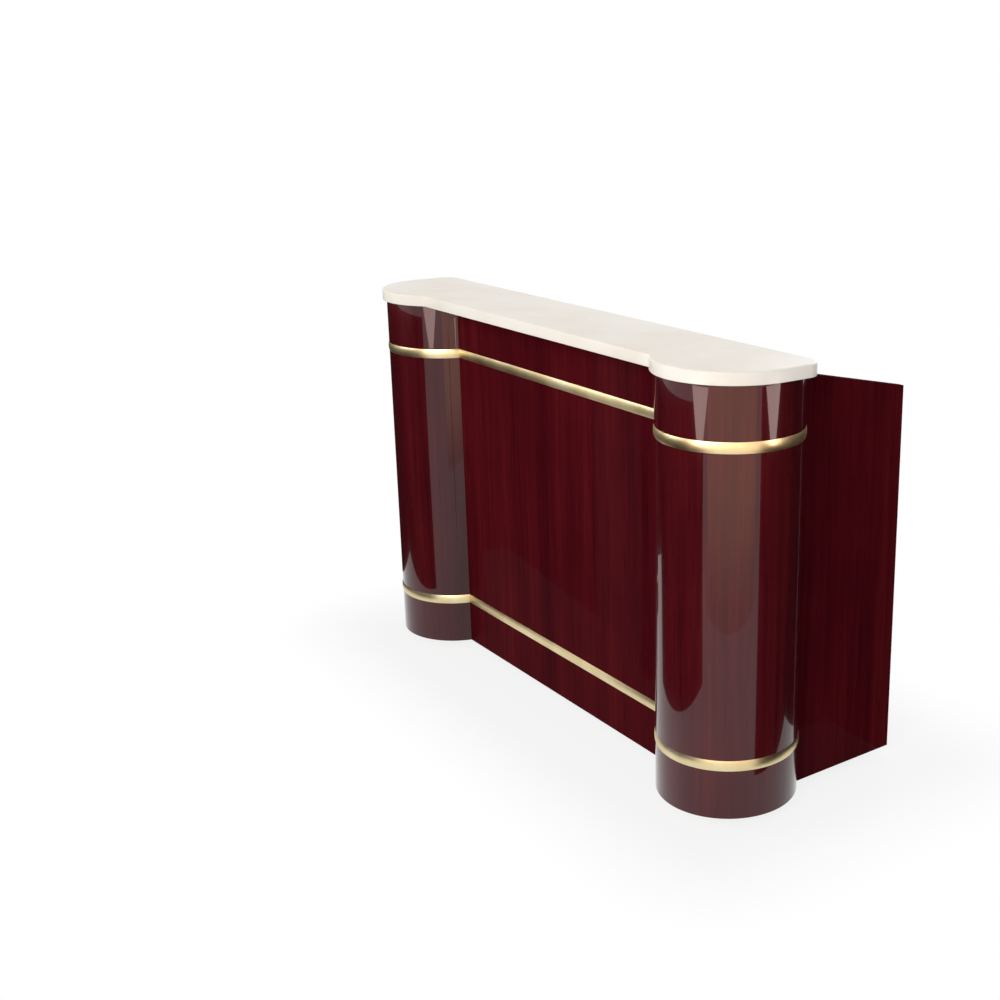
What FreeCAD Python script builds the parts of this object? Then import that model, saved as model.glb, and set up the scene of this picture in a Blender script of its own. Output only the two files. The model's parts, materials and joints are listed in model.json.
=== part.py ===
import FreeCAD, Part
import os
from types import SimpleNamespace

import Sketcher

# A rolling bar: a laminated case with round corner columns, a counter for guests at the front (-Y),
# and a work area with bottle rails, racks, an ice bin and a cupboard for the bartender at the rear (+Y).
# Left is -X and right is +X, as a guest sees them. The origin is on the floor, under the middle.

# Driving sizes in millimetres, with counts where the meaning says so.
SIZES = [
    ("bar_height", 1168, "floor to the counter's face"),
    ("ground_gap", 26, "floor to the panels and columns"),
    ("board", 19, "thickness of the case's boards"),
    ("divider", 38, "thickness of a double board between bays"),
    ("panel_drop", 87, "counter's underside to an end panel's rear corner"),
    ("column_radius", 185, "outside of a column"),
    ("column_wall", 8, "bent board of a column"),
    ("column_side_proud", 79, "column past the end panel"),
    ("column_front_proud", 129, "column past the front panel"),
    ("rib_thick", 18, "board of a column's ribs"),
    ("counter_thick", 34, "counter's edge"),
    ("counter_skin", 12, "solid surface round the counter's core"),
    ("counter_overhang", 12, "counter past the columns"),
    ("counter_front", 90, "counter past the front panel"),
    ("counter_lip", 53, "counter past the backsplash"),
    ("counter_corner", 50, "round corner at the counter's rear"),
    ("panel_level", 22.5, "level top of an end panel past the backsplash"),
    ("band_height", 28, "brass bands and strips"),
    ("band_thick", 2.5, "brass bands and strips"),
    ("band_drop", 163, "counter's underside to the lower edge of the upper bands"),
    ("band_lower", 158, "lower edge of the lower bands"),
    ("glue_line", 0.1, "gap behind a glued band"),
    ("base_rail_bottom", 65, "floor to the rail under the bays"),
    ("base_rail_height", 120, "rail under the bays"),
    ("base_rail_recess", 8, "rail inside the end panels' rear edges"),
    ("sheet", 1.5, "stainless sheet"),
    ("apron_height", 35, "work top's folded rear edge"),
    ("stack_gap", 10, "middle stack's top to the work top's folded edge"),
    ("splash_set", 130, "front panel's face to the backsplash's board"),
    ("well_set", 352, "front panel's face to the wells at both ends"),
    ("rail_clear", 6, "right stack's top to the cleats"),
    ("rail_height", 100, "walls of a bottle rail"),
    ("rail_proud", 80, "bottle rail past the end panels"),
    ("rail_gap", 4, "bottle rail to the board between bays"),
    ("rail_end_gap", 60, "bottle rail to the end panel"),
    ("rail_hem", 10, "turned-in edge of a bottle rail"),
    ("cleat", 18, "square strips under the bottle rails"),
    ("cleat_inset", 14, "cleats inside the well"),
    ("rail_screw_radius", 2.5, "screws that hold the bottle rails"),
    ("rail_screw_head", 5, "radius of their heads and nuts"),
    ("rail_screw_length", 3, "height of their heads and nuts"),
    ("rail_screw_rise", 40, "screws above a rail's floor"),
    ("rail_screw_inset", 50, "rail's ends to the outer screws"),
    ("cupboard_drop", 42, "bottle rails' underside to the cupboard's top face"),
    ("cupboard_rail_height", 58, "rail over the cupboard's opening"),
    ("bin_clear", 10, "cupboard's top face to the drain's nut"),
    ("bin_side_gap", 4, "ice bin's rim to the boards beside it"),
    ("bin_rear_gap", 16, "ice bin's rim to the well's wall"),
    ("bin_fit", 0.5, "ice bin in the work top's opening"),
    ("insulation", 14, "foam round the ice bin"),
    ("drain_radius", 14, "drain pipe"),
    ("drain_wall", 4, "drain pipe's wall"),
    ("drain_flange", 24, "radius of the drain's flange and nut"),
    ("drain_flange_thick", 2.5, "drain's flange"),
    ("drain_nut", 8, "height of the drain's nut"),
    ("drain_fit", 0.5, "drain in its holes"),
    ("drain_drop", 30, "drain below the cupboard's top"),
    ("cap_wall", 4.8, "drain's cap"),
    ("cap_height", 18, "drain's cap"),
    ("cap_floor", 4, "drain's cap"),
    ("cap_fit", 0.2, "drain's cap round the pipe"),
    ("cover_length", 262, "ice bin's cover along the bar"),
    ("cover_thick", 12, "ice bin's cover"),
    ("cover_set", 4, "cover's edge inside the rim's edge"),
    ("cover_guide", 10, "width of the guides under the cover"),
    ("cover_guide_drop", 8, "guides below the rim"),
    ("cover_guide_gap", 1, "guides to the bin's walls"),
    ("cover_slot_length", 90, "finger slot in the cover"),
    ("cover_slot_width", 26, "finger slot in the cover"),
    ("rest_gap", 0.3, "loose pieces above what they rest on"),
    ("rack_width", 500, "rack along the bar"),
    ("rack_depth", 500, "rack from front to rear"),
    ("rack_height", 181, "rack"),
    ("rack_wall", 4, "rack's walls"),
    ("rack_floor", 4, "rack's lattice floor"),
    ("rack_side_gap", 4.5, "rack to the walls beside it"),
    ("rack_recess", 28, "rack inside the end panels' rear edges"),
    ("rack_sill", 51, "rail under the bays to the lowest runners"),
    ("rack_lift", 4, "rack to the runners over it"),
    ("rack_back_gap", 1, "rack to the front panel"),
    ("slot_post", 25, "rack's wall between two slots"),
    ("slot_height", 16, "slots in the rack's walls"),
    ("slot_columns", 3, "count of slots along a wall"),
    ("slot_rows", 3, "count of full rows of slots up a wall"),
    ("slot_margin", 45, "wall's ends to the outer slots"),
    ("slot_rim", 8, "top row to the rack's rim"),
    ("slot_first", 58, "rack's underside to the single slot under the rows"),
    ("lattice_bar", 16, "bars between the holes in the rack's floor"),
    ("lattice_count", 6, "count of holes each way"),
    ("lattice_margin", 30, "rack's sides to the outer holes"),
    ("runner_ledge", 20, "runner's ledge under a rack"),
    ("runner_leg", 24, "runner's leg on the wall"),
    ("runner_thick", 2.5, "runner's metal"),
    ("runner_inset", 12, "runner inside the rear edges"),
    ("swing_gap", 10, "swivelling casters to the boards round them"),
    ("caster_trail", 36, "swivel's axis to the axle"),
    ("wheel_radius", 50, "wheel"),
    ("wheel_width", 32, "wheel's tread"),
    ("wheel_web", 14, "wheel between its hub and rim"),
    ("tyre", 12, "tread's thickness"),
    ("hub_wall", 9, "hub round the axle"),
    ("wheel_chamfer", 5, "tread's corners"),
    ("wheel_side_gap", 2, "tread to the fork's legs"),
    ("hub_side_gap", 0.5, "hub to the fork's legs"),
    ("axle_radius", 5, "axle"),
    ("axle_head", 9, "radius of the axle's head and nut"),
    ("axle_head_length", 5, "axle's head and nut"),
    ("running_fit", 0.05, "turning pieces on their pins"),
    ("fixed_fit", 0.1, "pins and screws in their holes"),
    ("plate_length", 105, "caster's plate along the bar"),
    ("plate_width", 85, "caster's plate from front to rear"),
    ("plate_thick", 4, "caster's plate"),
    ("plate_screw_inset", 14, "plate's edges to the screws"),
    ("plate_screw_radius", 3.5, "screws of the casters' plates"),
    ("plate_screw_head", 6.5, "radius of their heads"),
    ("plate_screw_head_length", 4, "their heads"),
    ("plate_screw_depth", 14, "screws into the deck"),
    ("swivel_pin", 6, "radius of the swivel's pin"),
    ("swivel_head", 11, "radius of the pin's head"),
    ("swivel_head_length", 4, "pin's head"),
    ("race_radius", 30, "swivel's race"),
    ("race_height", 8, "swivel's race"),
    ("fork_metal", 4, "fork's pressed steel"),
    ("fork_front", 28, "fork ahead of the swivel's axis"),
    ("fork_wall", 7, "fork behind the pedal's pin"),
    ("wheel_head_room", 13.7, "tread to the fork's crown"),
    ("fork_toe", 14, "fork round the axle"),
    ("fork_shoulder", 16, "fork's cheek below its crown"),
    ("brake_pivot_back", 10, "axle to the pedal's pivot"),
    ("brake_pin", 3, "radius of the pedal's pin"),
    ("barrel_wall", 2.5, "pedal's barrel round its pin"),
    ("barrel_gap", 0.5, "pedal's barrel to the crown"),
    ("brake_length", 62, "pedal behind its pivot"),
    ("brake_metal", 3, "pedal"),
    ("brake_side_gap", 1, "pedal to the fork's legs"),
    ("brake_shoe_set", 14, "pivot to the shoe"),
    ("brake_shoe_length", 12, "shoe"),
    ("brake_gap", 3, "shoe to the tread when off"),
    ("brake_toe", 12, "pedal's foot pad"),
    ("brake_toe_rise", 6, "pedal's foot pad"),
]

# Racks from the lowest up, in the two bays that hold them.
MIDDLE_LEVELS = 3
RIGHT_LEVELS = 2

doc = FreeCAD.newDocument("portable_bar")
sheet = doc.addObject("Spreadsheet::Sheet", "Sizes")
for row, (alias, number, meaning) in enumerate(SIZES, start=1):
    sheet.set(f"A{row}", alias)
    sheet.set(f"B{row}", str(number))
    sheet.set(f"C{row}", meaning)
    sheet.setAlias(f"B{row}", alias)
doc.recompute()


class Size:
    """A length as a formula on the sheet's cells."""

    def __init__(self, text):
        self.text = str(text)

    def __str__(self):
        return self.text

    def __add__(self, other):
        return Size(f"({self} + {other})")

    def __radd__(self, other):
        return Size(f"({other} + {self})")

    def __sub__(self, other):
        return Size(f"({self} - {other})")

    def __rsub__(self, other):
        return Size(f"({other} - {self})")

    def __mul__(self, other):
        return Size(f"({self} * {other})")

    def __truediv__(self, other):
        return Size(f"({self} / {other})")

    def __neg__(self):
        return Size(f"(0 - {self})")


def leg_of(hypotenuse, other_leg):
    """The third side of a right triangle."""
    return Size(f"sqrt({hypotenuse} * {hypotenuse} - {other_leg} * {other_leg})")


def number(size):
    return float(sheet.evalExpression(str(size)))


d = SimpleNamespace(**{alias: Size(f"Sizes.{alias}") for alias, _, _ in SIZES})

# Heights, from the floor up through the racks to the counter.
caster_height = (d.wheel_radius * 2 + d.wheel_head_room + d.fork_metal + d.race_height + d.rest_gap
                 + d.plate_thick)
deck_top = caster_height + d.board
base_rail_top = d.base_rail_bottom + d.base_rail_height
rack_pitch = d.rack_height + d.runner_leg + d.rack_lift


def rack_foot(level):
    """Height of the runners at a level, counted from the lowest as 0."""
    return base_rail_top + d.rack_sill + rack_pitch * level


def stack_top(levels):
    return rack_foot(levels - 1) + d.rack_height


work_height = stack_top(MIDDLE_LEVELS) + d.stack_gap + d.apron_height
work_under = work_height - d.sheet
rail_floor = stack_top(RIGHT_LEVELS) + d.rail_clear + d.cleat
cupboard_height = rail_floor - d.cupboard_drop
bin_floor = cupboard_height + d.bin_clear + d.drain_nut + d.insulation
bin_rim = work_height + d.sheet
drain_low = cupboard_height - d.board - d.drain_drop
counter_under = d.bar_height - d.counter_thick
bands_up = {"upper": counter_under - d.band_drop, "lower": d.band_lower}

# Places along the bar, from its middle to the ends.
bay = d.rack_width + d.rack_side_gap * 2
bay_edge = bay / 2 + d.divider
inner = bay_edge + bay
half = inner + d.board
column_x = half + d.column_side_proud - d.column_radius
bin_margin = d.insulation + d.bin_side_gap
bin_x = (bin_margin - inner, -bay_edge - bin_margin)
cover_lap = d.insulation - d.cover_set
tray_ends = (bay_edge + d.rail_gap, inner - d.rail_end_gap)

# Places from the guest's side to the bartender's.
case_depth = d.board + d.rack_back_gap + d.rack_depth + d.rack_recess
front = (d.column_front_proud + d.counter_overhang - case_depth - d.rail_proud) / 2
front_inside = front + d.board
rear = front + case_depth
column_y = front + d.column_radius - d.column_front_proud
base_rail_front = rear - d.base_rail_recess - d.board
splash = front + d.splash_set
splash_face = splash + d.sheet
counter_back = splash_face + d.counter_lip
slope_start = splash_face + d.panel_level
well = front + d.well_set
rail_rear = rear + d.rail_proud
bin_y = (splash_face + bin_margin, well - d.insulation - d.bin_rear_gap)

# The ice bin's drain and its cap.
drain_at = ((bin_x[0] + bin_x[1]) / 2, (bin_y[0] + bin_y[1]) / 2)
cap_radius = d.drain_radius + d.cap_fit + d.cap_wall

# Heights and widths inside a caster.
plate_foot = caster_height - d.plate_thick
race_top = plate_foot - d.rest_gap
crown_top = race_top - d.race_height
crown_foot = crown_top - d.fork_metal
leg_inside = d.wheel_width / 2 + d.wheel_side_gap
leg_outside = leg_inside + d.fork_metal
wheel_rim = d.wheel_radius - d.tyre
wheel_hub = d.axle_radius + d.hub_wall
brake_barrel = d.brake_pin + d.barrel_wall
pivot_back = d.caster_trail + d.brake_pivot_back
pivot_height = crown_foot - d.barrel_gap - brake_barrel
SIDES = {"left": -1, "right": 1}
pieces = []


def bind(item, prop, size):
    item.setExpression(prop, str(size))


def place(item, x, y, z):
    for axis, size in zip("xyz", (x, y, z)):
        bind(item, f"Placement.Base.{axis}", size)


def span(side, low, high):
    """Limits along X on the right side, or mirrored on the left."""
    return (low, high) if side > 0 else (-high, -low)


def grown(limits, by):
    return limits[0] - by, limits[1] + by


def block(name, x, y, z):
    """A square-edged solid between three pairs of limits."""
    item = doc.addObject("Part::Box", name)
    for prop, (low, high) in zip(("Length", "Width", "Height"), (x, y, z)):
        bind(item, prop, Size(high) - low)
    place(item, x[0], y[0], z[0])
    return item


def disc(name, x, y, radius, z):
    """An upright round solid."""
    item = doc.addObject("Part::Cylinder", name)
    bind(item, "Radius", radius)
    bind(item, "Height", Size(z[1]) - z[0])
    place(item, x, y, z[0])
    return item


def rod(name, axis, limits, radius, x=0, y=0, z=0):
    """A round solid lying along X or Y."""
    item = doc.addObject("Part::Cylinder", name)
    turn_about = {"x": FreeCAD.Vector(0, 1, 0), "y": FreeCAD.Vector(-1, 0, 0)}[axis]
    item.Placement = FreeCAD.Placement(FreeCAD.Vector(), FreeCAD.Rotation(turn_about, 90))
    bind(item, "Radius", radius)
    bind(item, "Height", Size(limits[1]) - limits[0])
    place(item, limits[0] if axis == "x" else x, limits[0] if axis == "y" else y, z)
    return item


def join(name, items):
    item = doc.addObject("Part::MultiFuse", name)
    item.Shapes = items
    item.Refine = True
    return item


def group(name, items):
    item = doc.addObject("Part::Compound", name)
    item.Links = items
    return item


def cut(name, base, *tools):
    item = doc.addObject("Part::Cut", name)
    item.Base = base
    item.Tool = tools[0] if len(tools) == 1 else group(f"{name}_cutters", list(tools))
    return item


def keep(item):
    """Mark a finished sub-part, which goes to a file under its label."""
    pieces.append(item)
    return item


def sketch_on(body, name, plane, lift=None):
    """An empty sketch on one of the body's own planes, lifted along the plane's normal."""
    sketch = body.newObject("Sketcher::SketchObject", f"{body.Name}_{name}")
    support = [item for item in body.Origin.OriginFeatures if item.Role == plane][0]
    sketch.AttachmentSupport = [(support, "")]
    sketch.MapMode = "FlatFace"
    if lift is not None:
        bind(sketch, "AttachmentOffset.Base.z", lift)
    return sketch


def outline(body, name, plane, corners, lift=None):
    """A closed sketch of straight edges, with both coordinates of each corner set."""
    sketch = sketch_on(body, name, plane, lift)
    points = [FreeCAD.Vector(number(u), number(v), 0) for u, v in corners]
    count = len(points)
    for index in range(count):
        sketch.addGeometry(Part.LineSegment(points[index], points[(index + 1) % count]), False)
    for index in range(count):
        sketch.addConstraint(Sketcher.Constraint("Coincident", index, 2, (index + 1) % count, 1))
    for index, (point, (u, v)) in enumerate(zip(points, corners)):
        across = sketch.addConstraint(Sketcher.Constraint("DistanceX", -1, 1, index, 1, point.x))
        up = sketch.addConstraint(Sketcher.Constraint("DistanceY", -1, 1, index, 1, point.y))
        bind(sketch, f"Constraints[{across}]", u)
        bind(sketch, f"Constraints[{up}]", v)
    return sketch


def rectangle(body, name, plane, u, v, lift=None):
    corners = [(u[0], v[0]), (u[1], v[0]), (u[1], v[1]), (u[0], v[1])]
    return outline(body, name, plane, corners, lift)


def ring_sketch(body, name, plane, u, v, radius, lift=None):
    """A sketch of one circle."""
    sketch = sketch_on(body, name, plane, lift)
    middle = FreeCAD.Vector(number(u), number(v), 0)
    circle = Part.Circle(middle, FreeCAD.Vector(0, 0, 1), number(radius))
    sketch.addGeometry(circle, False)
    across = sketch.addConstraint(Sketcher.Constraint("DistanceX", -1, 1, 0, 3, middle.x))
    up = sketch.addConstraint(Sketcher.Constraint("DistanceY", -1, 1, 0, 3, middle.y))
    wide = sketch.addConstraint(Sketcher.Constraint("Radius", 0, number(radius)))
    for index, size in ((across, u), (up, v), (wide, radius)):
        bind(sketch, f"Constraints[{index}]", size)
    return sketch


def pad(body, sketch, length, both_ways=False):
    item = body.newObject("PartDesign::Pad", f"{sketch.Name}_pad")
    item.Profile = sketch
    bind(item, "Length", length)
    if both_ways:
        item.SideType = "Symmetric"
    return item


def pocket_through(body, sketch):
    """Cut a sketch's shape out of the whole body, both ways from its plane."""
    item = body.newObject("PartDesign::Pocket", f"{sketch.Name}_pocket")
    item.Profile = sketch
    item.SideType = "Symmetric"
    item.Type = "ThroughAll"
    return item


def repeat_grid(body, sketch, feature, across, up):
    """Repeat a feature along its sketch's two axes; each is a pitch and a count."""
    item = body.newObject("PartDesign::LinearPattern", f"{feature.Name}_grid")
    item.Originals = [feature]
    item.Direction = (sketch, ["H_Axis"])
    item.Direction2 = (sketch, ["V_Axis"])
    for suffix, (pitch, count) in (("", across), ("2", up)):
        bind(item, f"Length{suffix}", pitch * (count - 1))
        bind(item, f"Occurrences{suffix}", count)
    body.Tip = item
    return item


# The case: a square box of boards that everything else is fixed to.
def make_case():
    upright = (d.ground_gap, counter_under)
    keep(block("front_panel", (-half, half), (front, front_inside), upright))
    for side_name, side in SIDES.items():
        panel = doc.addObject("PartDesign::Body", f"end_panel_{side_name}")
        corners = [
            (front_inside, d.ground_gap),
            (rear, d.ground_gap),
            (rear, counter_under - d.panel_drop),
            (slope_start, counter_under),
            (front_inside, counter_under),
        ]
        pad(panel, outline(panel, "profile", "YZ_Plane", corners), d.board)
        bind(panel, "Placement.Base.x", span(side, inner, half)[0])
        keep(panel)
    rail_space = block("base_rail_space", (-inner, inner), (base_rail_front, rear), (0, base_rail_top))
    for side_name, side in SIDES.items():
        limits = span(side, bay / 2, bay_edge)
        blank = block(f"divider_{side_name}_blank", limits, (front_inside, rear), (deck_top, work_under))
        keep(cut(f"divider_{side_name}", blank, rail_space))
    base_rail_end = base_rail_front + d.board
    rail_up = (d.base_rail_bottom, base_rail_top)
    keep(block("base_rail", (-inner, inner), (base_rail_front, base_rail_end), rail_up))
    cupboard_x = (-inner, -bay_edge)
    board_up = (cupboard_height - d.board, cupboard_height)
    board = block("cupboard_top_blank", cupboard_x, (front_inside, rear - d.board), board_up)
    drain_way = disc("cupboard_drain_hole", *drain_at, cap_radius, (0, d.bar_height))
    keep(cut("cupboard_top", board, drain_way))
    rail_up = (cupboard_height - d.cupboard_rail_height, cupboard_height)
    keep(block("cupboard_rail", cupboard_x, (rear - d.board, rear), rail_up))


def caster_places():
    """Each caster's number, swivel axis and whether it has a brake."""
    pedal_swing = pivot_back + d.brake_length + d.swing_gap
    x = inner - pedal_swing
    front_y = front_inside + d.caster_trail + d.wheel_radius + d.swing_gap
    rear_y = base_rail_front - pedal_swing
    spots = [(-x, front_y, False), (x, front_y, False), (-x, rear_y, True), (x, rear_y, True)]
    return [(index, *spot) for index, spot in enumerate(spots, start=1)]


def plate_screw_places():
    """Every screw of every caster's plate."""
    reach_x = d.plate_length / 2 - d.plate_screw_inset
    reach_y = d.plate_width / 2 - d.plate_screw_inset
    found = []
    for index, x, y, _ in caster_places():
        for across in (-1, 1):
            for along in (-1, 1):
                found.append((index, (x + reach_x * across, y + reach_y * along)))
    return found


# The deck under the bays, drilled for the screws of the casters' plates.
def make_deck():
    deck_y = (front_inside, base_rail_front)
    blank = block("base_deck_blank", (-inner, inner), deck_y, (caster_height, deck_top))
    depth = (0, caster_height + d.plate_screw_depth)
    radius = d.plate_screw_radius + d.fixed_fit
    holes = []
    for number_of, (_, spot) in enumerate(plate_screw_places(), start=1):
        holes.append(disc(f"deck_hole_{number_of}", *spot, radius, depth))
    keep(cut("base_deck", blank, *holes))


# Round columns over the case's front corners, with ribs inside and brass bands outside.
def make_columns(case_space):
    height = (d.ground_gap, counter_under)
    rib_middle = (d.ground_gap + counter_under - d.rib_thick) / 2
    rib_feet = (d.ground_gap, rib_middle, counter_under - d.rib_thick)
    inside = d.column_radius - d.column_wall
    band_inside = d.column_radius + d.glue_line
    for side_name, side in SIDES.items():
        axis = (column_x * side, column_y)

        def hoop(name, low_radius, high_radius, z):
            """The part of a tube that stands outside the case."""
            tube = cut(f"{name}_tube", disc(f"{name}_outside", *axis, high_radius, z),
                       disc(f"{name}_inside", *axis, low_radius, z))
            return cut(name, tube, case_space)

        keep(hoop(f"column_shell_{side_name}", inside, d.column_radius, height))
        ribs = []
        for level, foot in enumerate(rib_feet, start=1):
            ribs.append(disc(f"rib_{side_name}_{level}", *axis, inside, (foot, foot + d.rib_thick)))
        keep(cut(f"column_ribs_{side_name}", group(f"ribs_{side_name}", ribs), case_space))
        for level, foot in bands_up.items():
            band_up = (foot, foot + d.band_height)
            name = f"column_band_{level}_{side_name}"
            keep(hoop(name, band_inside, band_inside + d.band_thick, band_up))
    reach = leg_of(band_inside + d.band_thick, column_y - front)
    strip_end = column_x - reach - d.glue_line
    for level, foot in bands_up.items():
        strip_up = (foot, foot + d.band_height)
        keep(block(f"front_strip_{level}", (-strip_end, strip_end), (front - d.band_thick, front), strip_up))


def counter_slab(name, inset, z):
    """The counter's plan: a straight bar, round over the columns, with round corners at the rear."""
    slab_y = (front - d.counter_front + inset, counter_back - inset)
    radius = d.column_radius + d.counter_overhang - inset
    corner = d.counter_corner - inset
    side_end = column_x + radius
    corner_x = side_end - corner
    corner_y = slab_y[1] - corner
    bars = [
        block(f"{name}_bar", (-column_x, column_x), slab_y, z),
        block(f"{name}_wide", (-side_end, side_end), (column_y, corner_y), z),
        block(f"{name}_tail", (-corner_x, corner_x), (column_y, slab_y[1]), z),
    ]
    ends = [disc(f"{name}_end_{key}", column_x * side, column_y, radius, z) for key, side in SIDES.items()]
    behind = block(f"{name}_behind", (-side_end, side_end), (column_y, column_y + radius * 2), z)
    fronts = cut(f"{name}_fronts", join(f"{name}_ends", ends), behind)
    rounds = [disc(f"{name}_corner_{key}", corner_x * side, corner_y, corner, z) for key, side in SIDES.items()]
    return join(name, [*bars, fronts, *rounds])


# The counter: a board core under a cream solid surface that turns down over its edges.
def make_counter():
    core = keep(counter_slab("counter_core", d.counter_skin, (counter_under, d.bar_height - d.counter_skin)))
    blank = counter_slab("counter_blank", Size(0), (counter_under, d.bar_height))
    keep(cut("counter_top", blank, core))
    board_up = (work_under, counter_under)
    keep(block("backsplash_board", (-inner, inner), (splash - d.board, splash), board_up))
    keep(block("backsplash", (-inner, inner), (splash, splash_face), (work_height, counter_under)))


def rail_screw_places():
    """Each bottle rail's screws along X, by side."""
    middle = (tray_ends[0] + tray_ends[1]) / 2
    pitch = (tray_ends[1] - tray_ends[0]) / 2 - d.rail_screw_inset
    return {key: [middle * side + pitch * step for step in (-1, 0, 1)] for key, side in SIDES.items()}


# The stainless work top, the wells' walls and the two bottle rails.
def make_work_area():
    flat = (work_under, work_height)
    wide = block("work_top_wide", (-inner, inner), (splash, well), flat)
    deep = block("work_top_deep", (-bay_edge, bay_edge), (splash, rear + d.sheet), flat)
    apron_up = (work_height - d.apron_height, work_height)
    apron = block("work_top_apron", (-bay_edge, bay_edge), (rear, rear + d.sheet), apron_up)
    opening = block("work_top_opening", grown(bin_x, d.bin_fit), grown(bin_y, d.bin_fit), (0, d.bar_height))
    keep(cut("work_top", join("work_top_sheet", [wide, deep, apron]), opening))
    screw_z = rail_floor + d.rail_screw_rise
    screws = []
    cleats = []
    for side_name, side in SIDES.items():
        holes = []
        for index, x in enumerate(rail_screw_places()[side_name], start=1):
            name = f"rail_screw_{side_name}_{index}"
            way = (well - d.sheet * 2, well + d.sheet * 2)
            holes.append(rod(f"{name}_hole", "y", way, d.rail_screw_radius + d.fixed_fit, x=x, z=screw_z))
            nut_y = (well - d.sheet - d.rail_screw_length, well - d.sheet)
            head_y = (well + d.sheet, well + d.sheet + d.rail_screw_length)
            screws.append(join(name, [
                rod(f"{name}_shank", "y", (nut_y[0], head_y[1]), d.rail_screw_radius, x=x, z=screw_z),
                rod(f"{name}_nut", "y", nut_y, d.rail_screw_head, x=x, z=screw_z),
                rod(f"{name}_head", "y", head_y, d.rail_screw_head, x=x, z=screw_z),
            ]))
        wall_x = span(side, bay_edge, inner)
        holes = group(f"rail_holes_{side_name}", holes)
        wall = block(f"well_wall_{side_name}_blank", wall_x, (well - d.sheet, well), (rail_floor, work_under))
        keep(cut(f"well_wall_{side_name}", wall, holes))
        tray_x = span(side, *tray_ends)
        tray_y = (well, rail_rear)
        tray_up = (rail_floor, rail_floor + d.rail_height)
        tray = f"speed_rail_{side_name}"
        outside = block(f"{tray}_outside", tray_x, tray_y, tray_up)
        room_x = grown(tray_x, -d.sheet)
        room = block(f"{tray}_room", room_x, grown(tray_y, -d.sheet), (rail_floor + d.sheet, d.bar_height))
        walls = cut(f"{tray}_walls", outside, room, holes)
        hem_y = (rail_rear - d.sheet - d.rail_hem, rail_rear - d.sheet)
        hem = block(f"{tray}_hem", room_x, hem_y, (tray_up[1] - d.sheet, tray_up[1]))
        keep(join(tray, [walls, hem]))
        cleat_up = (rail_floor - d.cleat, rail_floor)
        for where, low in (("front", well + d.cleat_inset), ("rear", rear - d.cleat_inset - d.cleat)):
            cleats.append(block(f"cleat_{side_name}_{where}", wall_x, (low, low + d.cleat), cleat_up))
    keep(group("rail_cleats", cleats))
    keep(group("rail_screws", screws))


def four_sides(name, x, y, width, z):
    """Four plates of one width round a rectangle, outside its limits."""
    wide_x = grown(x, width)
    return [
        block(f"{name}_front", wide_x, (y[0] - width, y[0]), z),
        block(f"{name}_rear", wide_x, (y[1], y[1] + width), z),
        block(f"{name}_left", (x[0] - width, x[0]), y, z),
        block(f"{name}_right", (x[1], x[1] + width), y, z),
    ]


# The insulated ice bin in the left end of the work top, welded from plates, with its drain and sliding cover.
def make_ice_bin():
    drain_way = disc("bin_drain_hole", *drain_at, d.drain_radius + d.drain_fit, (0, d.bar_height))
    plate = block("bin_floor_plate", bin_x, bin_y, (bin_floor, bin_floor + d.sheet))
    room_x = grown(bin_x, -d.sheet)
    room_y = grown(bin_y, -d.sheet)
    walls = four_sides("bin_wall", room_x, room_y, d.sheet, (bin_floor + d.sheet, bin_rim))
    rim = four_sides("bin_rim", bin_x, bin_y, d.insulation, (work_height, bin_rim))
    keep(group("ice_bin_liner", [cut("bin_floor_drilled", plate, drain_way), *walls, *rim]))
    foam_foot = bin_floor - d.insulation
    foam = block("ice_bin_foam", grown(bin_x, d.insulation), grown(bin_y, d.insulation), (foam_foot, work_under))
    hollow = block("ice_bin_hollow", bin_x, bin_y, (bin_floor, d.bar_height))
    keep(cut("ice_bin_insulation", foam, hollow, drain_way))
    flange_foot = bin_floor + d.sheet
    flange_top = flange_foot + d.drain_flange_thick
    drain = join("ice_bin_drain_blank", [
        disc("drain_pipe", *drain_at, d.drain_radius, (drain_low, flange_top)),
        disc("drain_rim", *drain_at, d.drain_flange, (flange_foot, flange_top)),
        disc("drain_lock_nut", *drain_at, d.drain_flange, (foam_foot - d.drain_nut, foam_foot)),
    ])
    bore = disc("drain_pipe_bore", *drain_at, d.drain_radius - d.drain_wall, (0, d.bar_height))
    keep(cut("ice_bin_drain", drain, bore))
    cap_foot = drain_low - d.cap_floor
    cup = disc("drain_cap_blank", *drain_at, cap_radius, (cap_foot, cap_foot + d.cap_height))
    socket = disc("drain_cap_socket", *drain_at, d.drain_radius + d.cap_fit, (drain_low, d.bar_height))
    keep(cut("drain_cap", cup, socket))
    make_cover()


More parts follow.
